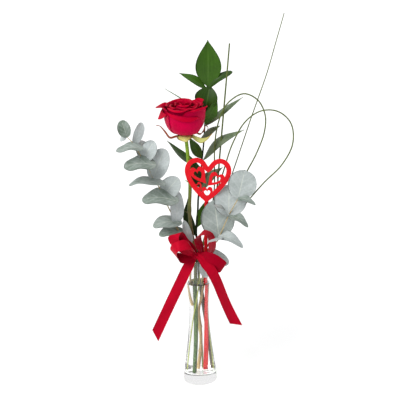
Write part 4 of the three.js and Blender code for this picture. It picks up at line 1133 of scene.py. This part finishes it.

# %% [markdown]
# A rose petal is velvety: no sharp shine, a deep red that is a little bluer on its outer
# face, and fine lines from its base to its rim. The inner face has painted shade towards its
# base, so that the gaps between the petals look deep.

# %% Finish: rose petal
def petal_finish():
    finish = Finish("rose petal", 0.55, gloss=0.2, tint=(255, 60, 110))
    along = finish.coordinate("Y", "UV")
    lines, velvet = finish.streaks("UV", 26.0, 1.6), finish.patches(70.0)
    inside = finish.value("face_side")
    face = finish.mix(inside, (196, 0, 62), (168, 0, 38))
    face = finish.mix(velvet, finish.mix(inside, (164, 0, 46), (138, 0, 28)), face)
    # Painted shade: the inner face darkens to (88, 0, 16) towards the petal's base.
    deep = finish.mix(finish.ramp(along, 0.4, 0.88), (88, 0, 16), face)
    face = finish.mix(inside, face, deep)
    face = finish.tinted(face, lines, 0.16, (210, 12, 70))
    rim = finish.ramp(along, 0.86, 0.97)
    finish.colour(finish.tinted(face, rim, 0.6, (180, 0, 36)))
    finish.roughen(velvet, 0.5, 0.7)
    finish.bump(lines, 0.2, 0.0004)
    return finish.material


PETAL_FINISH = petal_finish()

# %% Outer petals
# Turn in degrees, where 0 is right, 90 behind and -90 in front; then the petal's shape.
OUTER_PETALS = [
    (-97, dict(spread=56, tilt=-5.2, wave=0.35, phase=0.4, outline=[
        (3.5, 0.6), (12, 1), (20, 3.8), (25.4, 9.8), (28.2, 18), (28.9, 26), (29, 31),
        (30.1, 33.2), (31.7, 32.2), (32.3, 29), (31.9, 26.8)])),
    (188, dict(spread=36, point=2.5, peak=0.1, tilt=-1.5, wave=0.3, phase=1.0, outline=[
        (3.5, 0.8), (12, 1.4), (19.6, 5), (24.6, 12), (27.2, 21), (28, 29.5), (28.9, 34.4),
        (30.8, 34.2), (32.6, 29.8), (33.8, 25)])),
    (184, dict(spread=40, point=6.5, tilt=-1.5, wave=0.5, phase=2.2, outline=[
        (3.5, 1), (12, 2.4), (18.6, 6.6), (23.2, 15), (25.2, 26), (25.8, 35), (27.2, 39.8),
        (29.6, 41.6), (32, 41)])),
    (100, dict(spread=60, tilt=-0.6, wave=0.7, phase=0.2, outline=[
        (3.5, 1), (12, 2.6), (18.4, 7), (22.8, 16), (24.4, 27), (24.2, 36), (24.6, 40.2),
        (26, 41.8), (27.8, 41)])),
    (26, dict(spread=44, point=1.2, peak=-0.2, tilt=-0.8, wave=0.5, phase=1.4, outline=[
        (3.5, 1), (12, 2.4), (18.6, 6.6), (23.6, 15), (25.6, 26), (26, 36), (26.2, 41.4),
        (27, 43.8), (28.4, 44.4)])),
    (-50, dict(spread=50, point=4, peak=0.62, tilt=3, wave=0.35, phase=0.0, outline=[
        (3.5, 0.8), (12, 1.6), (19.4, 5), (24.6, 12), (27, 21), (27.6, 30), (27.8, 37),
        (28.8, 40.4), (30.4, 40.8), (31.2, 38.4)])),
]

outer = mesh_piece(
    "outer petals", [petal_part(petal_grid(**shape), turn) for turn, shape in OUTER_PETALS],
    PETAL_FINISH,
)
print(len(OUTER_PETALS), "outer petals")

# %% Inner petals and the whole bloom
INNER_OUTLINE = [
    (5, 5), (13, 10), (18.6, 17), (21.8, 27), (22.8, 35.4), (23.8, 39.8), (25.4, 41.4),
    (27.2, 40.8), (27.8, 39.4),
]
CORE = [(0, 0.4), (12, 2), (18, 6.4), (20, 13), (15, 24), (8, 30), (0, 32)]
BLOOM_PLACE = (-12.8, -3.3, 373.4)
SPIRAL = {
    "Count": 15, "First angle": math.radians(-120), "Turn": math.radians(137.5),
    "Largest": 0.98, "Smallest": 0.16, "Rise": 0.06, "Jitter": 0.045, "Seed": 4,
}
master = mesh_piece(
    "inner petal",
    [petal_part(petal_grid(66, INNER_OUTLINE, point=1.0, wave=0.55, phase=0.7), 0)],
    PETAL_FINISH,
)
inner = grow("inner petals", master.data.copy(), PETAL_SPIRAL, Finish=PETAL_FINISH, **SPIRAL)
bpy.data.objects.remove(master)
core = lathe("bloom core", CORE, 48, PETAL_FINISH, rows=60)
bloom = fuse("rose_petals", [outer, inner, core])
lean = Matrix.Rotation(math.radians(-1), 4, "Y") @ Matrix.Rotation(math.radians(1), 4, "X")
shift(bloom, BLOOM_PLACE, lean)
dress(bloom, "rose_bloom")

# %% [markdown]
# ## The heart on its stick
# The heart is cut from a thin board and painted bright red, with four small outlined
# hearts inside, which lean in different ways and are joined to their neighbours; two have
# bent tails. Every one is a ring: a heart outline, a smaller one inside it, and edges with
# a fine bevel. The rings and the flat stick are joined by an exact Boolean union.

# %% Shape of a heart
HEART_POINTS = 44


def heart_half(width, height, notch):
    """Points up the right half of a heart that stands on its point at (0, 0), in mm."""
    right = [(0, 0), (0.17, 0.15), (0.36, 0.37), (0.475, 0.58), (0.5, 0.76), (0.43, 0.92),
             (0.27, 1.0), (0.11, 0.95), (0, notch)]
    return smooth_outline([(x * width, z * height) for x, z in right], HEART_POINTS)


def window_half(half, band, sill):
    """The same heart, smaller by an even band, with its point at the height sill."""
    along = unit(np.gradient(half, axis=0))
    inside = half - band * np.column_stack([along[:, 1], -along[:, 0]])
    kept = [(x, z) for x, z in inside if x > 0.1 * band and z > sill + 0.2 * band]
    bottom, notch = (0, sill), (0, half[-1, 1] - 1.25 * band)
    return smooth_outline([bottom, *kept[::3], notch], HEART_POINTS)


def mirrored(half):
    """The whole outline, once round: up the right half and down the left."""
    return np.vstack([half, half[::-1][1:-1] * (-1, 1)])


print("a heart's outline has", len(mirrored(heart_half(1, 1, 0.8))), "points")

# %% A ring with fine bevels
BOARD_THICKNESS, BOARD_BEVEL, WINDOW_NOTCH = 1.5, 0.16, 0.7


def outward(mesh):
    """Turn the faces of a closed mesh so that all point outwards."""
    work = bmesh.new()
    work.from_mesh(mesh)
    bmesh.ops.recalc_face_normals(work, faces=work.faces)
    work.to_mesh(mesh)
    work.free()


def heart_ring(name, width, height, notch, sill, at, tilt, sway=0, band=0, window=None):
    """A heart-shaped ring in the XZ plane. at is its point, and tilt turns it to the right.

    Its window starts at the height sill. It leaves an even band, or has a size of its own.
    sway moves the lobes sideways, so that the point becomes a bent tail.
    """
    half = heart_half(width, height, notch)
    outer = mirrored(half)
    if window:
        inner = mirrored(heart_half(*window, WINDOW_NOTCH)) + (0, sill)
    else:
        inner = mirrored(window_half(half, band, sill))
    deep = BOARD_THICKNESS / 2
    loops = []
    for line, sign in ((outer, 1), (inner, -1)):
        low = np.clip(1 - line[:, 1] / height, 0, 1)
        line = line + np.column_stack([sway * (1 - low**3), 0 * low])
        along = unit(np.roll(line, -1, axis=0) - np.roll(line, 1, axis=0))
        shrunk = line - sign * BOARD_BEVEL * np.column_stack([along[:, 1], -along[:, 0]])
        rows = [(shrunk, -deep), (line, BOARD_BEVEL - deep), (line, deep - BOARD_BEVEL), (shrunk, deep)]
        loops += rows if sign > 0 else rows[::-1]
    turn = math.radians(tilt)
    x_axis, z_axis = (math.cos(turn), -math.sin(turn)), (math.sin(turn), math.cos(turn))
    points = []
    for line, y in loops:
        flat = line[:, :1] * x_axis + line[:, 1:] * z_axis + at
        points += [(x * MM, y * MM, z * MM) for x, z in flat]
    n, mesh = len(outer), bpy.data.meshes.new(name)
    faces = []
    for k in range(len(loops)):
        here, there = k * n, (k + 1) % len(loops) * n
        faces += [(here + i, here + (i + 1) % n, there + (i + 1) % n, there + i) for i in range(n)]
    mesh.from_pydata(points, [], faces)
    outward(mesh)
    return add_object(name, mesh)


def unite(first, *others):
    """The exact union of closed solids, as the first piece."""
    for other in others:
        join = first.modifiers.new("union", "BOOLEAN")
        join.operation, join.solver, join.object = "UNION", "EXACT", other
        graph = bpy.context.evaluated_depsgraph_get()
        joined = bpy.data.meshes.new_from_object(first.evaluated_get(graph))
        first.modifiers.remove(join)
        first.data = joined
        bpy.data.objects.remove(other)
    return first


# %% Finish: painted board
def board_finish():
    finish = Finish("painted board", 0.5, gloss=0.2, tint=(255, 90, 90))
    grain, patches = finish.streaks("Object", 160.0, 900.0), finish.patches(70.0)
    face = finish.mix(patches, (204, 24, 34), (216, 32, 42))
    finish.colour(finish.tinted(face, grain, 0.1, (192, 14, 28)))
    finish.bump(grain, 0.1, 0.0002)
    return finish.material


BOARD_FINISH = board_finish()

# %% Heart and stick
BIG_HEART = dict(width=64.2, height=66.6, notch=0.81, band=6.8, sill=9.6, at=(0, 0), tilt=4.2)
SMALL_HEARTS = [
    dict(width=21, height=26.4, notch=0.84, window=(10.6, 12.4), sill=7.9, at=(0.6, 29),
         tilt=-8, sway=-9.8),
    dict(width=20.4, height=22.4, notch=0.8, window=(11.4, 11.8), sill=5.8, at=(2.6, 25.8),
         tilt=22, sway=8.1),
    dict(width=9.8, height=11.5, notch=0.8, window=(5.4, 5.2), sill=4.1, at=(-6.4, 19.8),
         tilt=-34),
    dict(width=15.4, height=18, notch=0.8, window=(8.7, 9.2), sill=4, at=(1.6, 5.4), tilt=0),
]
HEART_PLACE, HEART_LEAN = (14.2, -11, 274), math.radians(5)
STICK = [(5.4, 2.7, FLOOR_END), (10.4, -3.6, 150), (14.3, -9.4, 272), (14.8, -10.3, 284)]
STICK_WIDTH, STICK_THICKNESS, STICK_ACROSS = 4.8, 1.8, (1, 0.02, 0)

board = heart_ring("heart_board", **BIG_HEART)
board = unite(board, *[heart_ring("small heart", **shape) for shape in SMALL_HEARTS])
shift(board, HEART_PLACE, Matrix.Rotation(HEART_LEAN, 4, "X"))
stick_part, _ = strip_part(
    STICK, [STICK_ACROSS] * len(STICK), lambda s: STICK_WIDTH + 0 * s, STICK_THICKNESS, 60, 5)
stick = mesh_piece("stick", [stick_part], None)
outward(stick.data)
heart = unite(board, stick)
heart.data.materials.clear()
heart.data.materials.append(BOARD_FINISH)
dress(heart, "heart_pick")

# %% [markdown]
# ## The ribbon
# A satin ribbon is a narrow woven tape: smooth, with fine threads across it, a soft sheen
# along its folds and a duller inner face. It goes once round the stems above the rim, and
# is tied in a bow of four loops with two long tails cut on the slant. Each run is a strip
# along a path, gathered to about half its width at the knot, with pleats that fade outward.

# %% Finish: satin
def satin_finish():
    finish = Finish("satin ribbon", 0.34, gloss=0.22, tint=(255, 70, 92))
    threads, patches = finish.streaks("UV", 6.0, 240.0), finish.patches(40.0, 0.8)
    face = finish.mix(patches, (146, 2, 26), (178, 10, 38))
    face = finish.mix(finish.value("face_side"), (134, 0, 24), face)
    finish.colour(finish.tinted(face, threads, 0.1, (196, 14, 46)))
    finish.roughen(threads, 0.3, 0.38)
    finish.bump(threads, 0.05, 0.0001)
    finish.shader.inputs["Anisotropic"].default_value = 0.4
    return finish.material


SATIN = satin_finish()

# %% [markdown]
# The loops were placed one by one. Each run is a route and, at each of its points,
# the direction across the ribbon, so that it can turn its face as a real loop does.

# %% Runs of ribbon
UPPER_LEFT_LOOP = (
    [(-2.8, -18, 198.3), (-10.1, -20, 210), (-19.2, -22, 221), (-23.6, -24.5, 229.3),
     (-28.7, -29, 235), (-32.6, -32, 231), (-30.6, -31, 222.6), (-18.2, -24, 209.7),
     (-4.1, -19, 198.1)],
    [(0.8, 0, 0.6), (0.8, 0, 0.6), (0.8, 0, 0.6), (0.85, 0.2, 0.5), (0.97, 0.15, 0.2),
     (1, 0, 0), (1, 0, 0), (0.8, 0, 0.5), (0.7, 0, 0.6)],
)
LOWER_LEFT_LOOP = (
    [(-2.2, -20, 199.8), (-5.2, -24, 207.5), (-8.6, -28.5, 215.4), (-15.4, -33, 219.8),
     (-24.8, -36, 219.5), (-30.7, -35, 216.5), (-33, -33, 209.5), (-30.2, -30, 202.6),
     (-24.1, -27, 198.4), (-15.4, -24, 195.6), (-7.9, -21, 194.3), (-2.3, -19, 195.3)],
    [(0.7, 0, -0.7), (0.7, -0.2, -0.7), (0.45, -0.4, -0.8), (0.25, -0.5, -0.83),
     (0.2, -0.5, -0.85), (0.4, -0.6, -0.7), (0.6, -0.65, -0.45), (0.5, -0.7, -0.5),
     (0.15, -0.6, -0.8), (0.1, -0.6, -0.8), (0, -0.5, -0.85), (0, -0.2, -1)],
)
UPRIGHT_LOOP = (
    [(6, -19.5, 199.5), (5.4, -20.3, 205), (2.7, -21, 214.7), (1.3, -22.5, 225),
     (4.4, -23.5, 231.6), (11.5, -24, 234), (18.3, -23.5, 229.7), (20.8, -22.5, 220.7),
     (21, -21, 210.3), (18.6, -20, 202.6), (12, -19.5, 199)],
    [(0.6, 0.3, -0.7), (0.68, 0.7, -0.2), (0.7, 0.7, -0.1), (0.62, 0.76, 0), (0.42, 0.88, 0.15),
     (0.15, 0.95, 0.12), (0.42, 0.86, 0.1), (0.66, 0.74, 0), (0.7, 0.7, 0), (0.6, 0.7, -0.3),
     (0.4, 0.3, -0.85)],
)
LOWER_RIGHT_LOOP = (
    [(3, -19.5, 198), (9, -23, 199), (16, -26, 198.2), (24, -28, 195), (31.3, -28, 189.2),
     (36.6, -25.4, 182.5), (33.7, -22, 178.6), (24.4, -20.5, 183.1), (10.9, -19, 193.7),
     (3, -18.5, 196.5)],
    [(0.05, 0, -1), (-0.05, 0, -1), (-0.15, 0, -0.98), (-0.35, -0.05, -0.93), (-0.5, -0.05, -0.86),
     (-0.54, 0.05, -0.84), (-0.54, 0.15, -0.83), (-0.45, 0.1, -0.87), (-0.2, 0, -0.97), (0, 0, -1)],
)
LOOPS = [UPPER_LEFT_LOOP, LOWER_LEFT_LOOP, UPRIGHT_LOOP, LOWER_RIGHT_LOOP]
LEFT_TAIL = (
    [(-3.5, -18, 197.5), (-8.4, -20.5, 191), (-14.6, -23, 181.1), (-25.2, -23.5, 159.2),
     (-37.2, -23, 134), (-50, -22.4, 106.4), (-62.8, -22, 78.7)],
    [(0.9, 0.1, -0.3), (0.9, 0.1, -0.4), (0.9, 0, -0.42), (0.9, 0, -0.42), (0.9, 0, -0.42),
     (0.9, 0, -0.42), (0.9, 0.1, -0.42)],
)
RIGHT_TAIL = (
    [(-2, -20.5, 200.5), (4, -23, 197.5), (10.5, -26, 190), (17.3, -28, 181), (23, -28, 170),
     (27.5, -27, 159), (33, -26, 143), (38.4, -25, 127.5), (45, -24.5, 111), (52.6, -24, 94)],
    [(0.5, 0.2, 0.8), (0.55, 0.35, 0.7), (0.65, 0.4, 0.6), (0.72, 0.42, 0.45), (0.78, 0.45, 0.35),
     (0.8, 0.5, 0.3), (0.8, 0.5, 0.25), (0.8, 0.5, 0.28), (0.78, 0.45, 0.35), (0.8, 0.4, 0.4)],
)
TAILS = [LEFT_TAIL, RIGHT_TAIL]
print(len(LOOPS), "loops and", len(TAILS), "tails")

# %% Widths and pleats
RIBBON_WIDTH, RIBBON_THICKNESS, CUT_SLANT = 15, 0.5, 13
RUN_ROWS, RUN_COLUMNS = 110, 17
# How many pleats lie across the ribbon, and the share of a run over which they fade.
PLEATS, LOOP_FADE, TAIL_FADE = 2.5, 0.065, 0.06


def loop_width(s):
    return RIBBON_WIDTH * (0.42 + 0.58 * np.minimum(1, 2.4 * np.sin(np.pi * s)))


def tail_width(s):
    return RIBBON_WIDTH * np.minimum(1, 0.55 + 3.5 * s)


def loop_pleats(s, v):
    """Pleats up to 1 mm high at both ends of a loop."""
    near_knot = np.exp(-s / LOOP_FADE) + np.exp(-(1 - s) / LOOP_FADE)
    return near_knot * np.cos(PLEATS * np.pi * v)


def tail_pleats(s, v):
    """Pleats at the upper end of a tail, and a slow wave all the way down it."""
    pleats = 0.9 * np.exp(-s / TAIL_FADE) * np.cos(PLEATS * np.pi * v)
    return pleats + 0.3 * np.sin(9 * s + 2 * v)


def ribbon_run(run, widths, pleats, slant=0.0):
    """One run as a strip, with its length."""
    route, across = run
    return strip_part(route, across, widths, RIBBON_THICKNESS, RUN_ROWS, RUN_COLUMNS,
                      shape=pleats, slant=slant)


# %% Bow, band and knot
BAND_CENTRE, BAND_RADIUS, BAND_HEIGHTS = (3, -1.5), 14.2, (191.8, 199.2)
BAND_ROWS, BAND_COLUMNS, BAND_FOLD = 9, 97, 0.25
KNOT = [(0, -4.5), (3.4, -4), (4.6, -1.6), (4.6, 1.6), (3.4, 4), (0, 4.5)]
KNOT_PLACE, KNOT_STRETCH = (-2.6, -17.5, 196.8), (1.15, 1, 1, 1)

made = [ribbon_run(run, loop_width, loop_pleats) for run in LOOPS]
made += [ribbon_run(run, tail_width, tail_pleats, CUT_SLANT) for run in TAILS]
runs = [part for part, _ in made]

angles = np.linspace(0, 2 * math.pi, BAND_COLUMNS)
heights = np.linspace(*BAND_HEIGHTS, BAND_ROWS)
ring_x = BAND_CENTRE[0] + BAND_RADIUS * np.cos(angles)
ring_y = BAND_CENTRE[1] + BAND_RADIUS * np.sin(angles)
band = np.stack([np.column_stack([ring_x, ring_y, 0 * angles + z]) for z in heights], 1)
# The rows are shifted a little by turns, which leaves soft folds round the band.
band[..., :2] += BAND_FOLD * np.cos(heights * 1.7)[None, :, None]
runs.append(sheet_part(band[:, ::-1], RIBBON_THICKNESS))

bow = mesh_piece("bow runs", runs, SATIN)
knot = lathe("knot", KNOT, 40, SATIN, rows=40)
shift(knot, KNOT_PLACE, Matrix.Diagonal(KNOT_STRETCH))
bow = dress(fuse("satin_bow", [bow, knot]), "ribbon")

# %% [markdown]
# ## The vase and the water
# The vase is turned glass: a heavy foot, a waist and a flared mouth with a rounded rim.
# It is a lathe shape, so it is turned from one outline that goes up the outside, over the
# rim and down the inside. The water fills it to a level above the waist. Its side lies a
# hair inside the glass wall, so that light passes from glass to water with no air between.

# %% Vase outline
OUTER = [(24.2, 2.4), (23.2, 12), (21.3, 28), (19.0, 45), (16.9, 62), (15.2, 80), (14.3, 98),
         (14.1, 112), (14.7, 128), (16.0, 144), (17.7, 162), (19.4, 180), (20.2, 187.6)]
WALL, GLASS_FLOOR, WATER_LEVEL = 1.7, 15, 151
FOOT_CORNER, INNER_CORNER = 1.8, 2.2
outer_line = smooth_outline(OUTER, 300)


def glass_radius(z):
    return float(np.interp(z, outer_line[:, 1], outer_line[:, 0]))


print("the waist is", round(2 * outer_line[:, 0].min(), 1), "mm across")

# %% [markdown]
# Clear glass casts hardly any shadow, but a path tracer finds no light through it towards a
# soft lamp. So for shadow rays alone each clear finish lets light straight through, a
# little dimmed: the stems inside and the foot are then lit as they are in a real room.
# Seen from above, the top of the water is painted a dark olive, near the colour of the
# stalks: painted shade for the stalks crowded in the neck of the vase.

# %% Glass and water finishes
def clear_finish(name, ior, shade, surface=None, tint=(255, 255, 255)):
    """Clear and smooth. surface is a colour of painted shade for what lies near the water level or above.
    """
    finish = Finish(name, 0.0, gloss=0.5, tint=tint)
    finish.shader.inputs["Base Color"].default_value = (1, 1, 1, 1)
    if surface is not None:
        # Painted shade: the surface colour darkens the top of the water.
        below, above = (WATER_LEVEL - 0.8) * MM, (WATER_LEVEL - 0.5) * MM
        top = finish.ramp(finish.coordinate("Z"), below, above)
        finish.colour(finish.mix(top, (255, 255, 255), surface))
    finish.shader.inputs["Transmission Weight"].default_value = 1.0
    finish.shader.inputs["IOR"].default_value = ior
    make, output = finish.tree.nodes.new, finish.tree.nodes["Material Output"]
    through, either = make("ShaderNodeBsdfTransparent"), make("ShaderNodeMixShader")
    through.inputs["Color"].default_value = (*linear(shade), 1)
    wire(finish.tree, make("ShaderNodeLightPath").outputs["Is Shadow Ray"], either.inputs[0])
    wire(finish.tree, finish.shader.outputs[0], either.inputs[1])
    wire(finish.tree, through.outputs[0], either.inputs[2])
    wire(finish.tree, either.outputs[0], output.inputs["Surface"])
    return finish.material


GLASS = clear_finish("clear glass", 1.46, (250, 252, 251))
# The dark olive surface is painted shade for the stalks crowded in the neck.
WATER = clear_finish("water", 1.33, (250, 252, 244), surface=(44, 36, 0), tint=(190, 185, 90))

# %% Glass and water bodies
LIP_START, SINK, SIDES = OUTER[-1][1], 0.05, 96


def arc(centre, radius, start, stop, count):
    """Points on an arc of the outline, from one angle to another in degrees."""
    turns = np.radians(np.linspace(start, stop, count))
    return [(centre[0] + radius * math.cos(t), centre[1] + radius * math.sin(t)) for t in turns]


outside = [(glass_radius(z), z) for z in np.linspace(3.4, LIP_START, 60)]
inside = [(glass_radius(z) - WALL, z) for z in np.linspace(LIP_START, GLASS_FLOOR + 3, 60)]
vase_outline = [
    (0, 0), (12, 0), (22.3, 0), *arc((22.4, FOOT_CORNER), FOOT_CORNER, -80, -10, 6), *outside,
    *arc((20.2 - WALL / 2, 188.15), WALL / 2, 10, 170, 9), *inside,
    *arc((19.2, GLASS_FLOOR + INNER_CORNER), INNER_CORNER, -10, -80, 5), (12, GLASS_FLOOR),
    (0, GLASS_FLOOR),
]
dress(lathe("vase_glass", vase_outline, SIDES, GLASS), "vase")

# The water sinks into the glass by a hair, at its side and its floor.
water_wall = [
    (glass_radius(z) - WALL + SINK, z) for z in np.linspace(GLASS_FLOOR + 3, WATER_LEVEL - 0.3, 50)
]
water_outline = [
    (0, GLASS_FLOOR - SINK), (12, GLASS_FLOOR - SINK), (19.2, GLASS_FLOOR - SINK),
    (21.2, GLASS_FLOOR + 1.2), *water_wall, (15.3, WATER_LEVEL), (12, WATER_LEVEL - 0.25),
    (0, WATER_LEVEL - 0.3),
]
dress(lathe("water_body", water_outline, SIDES, WATER), "water")
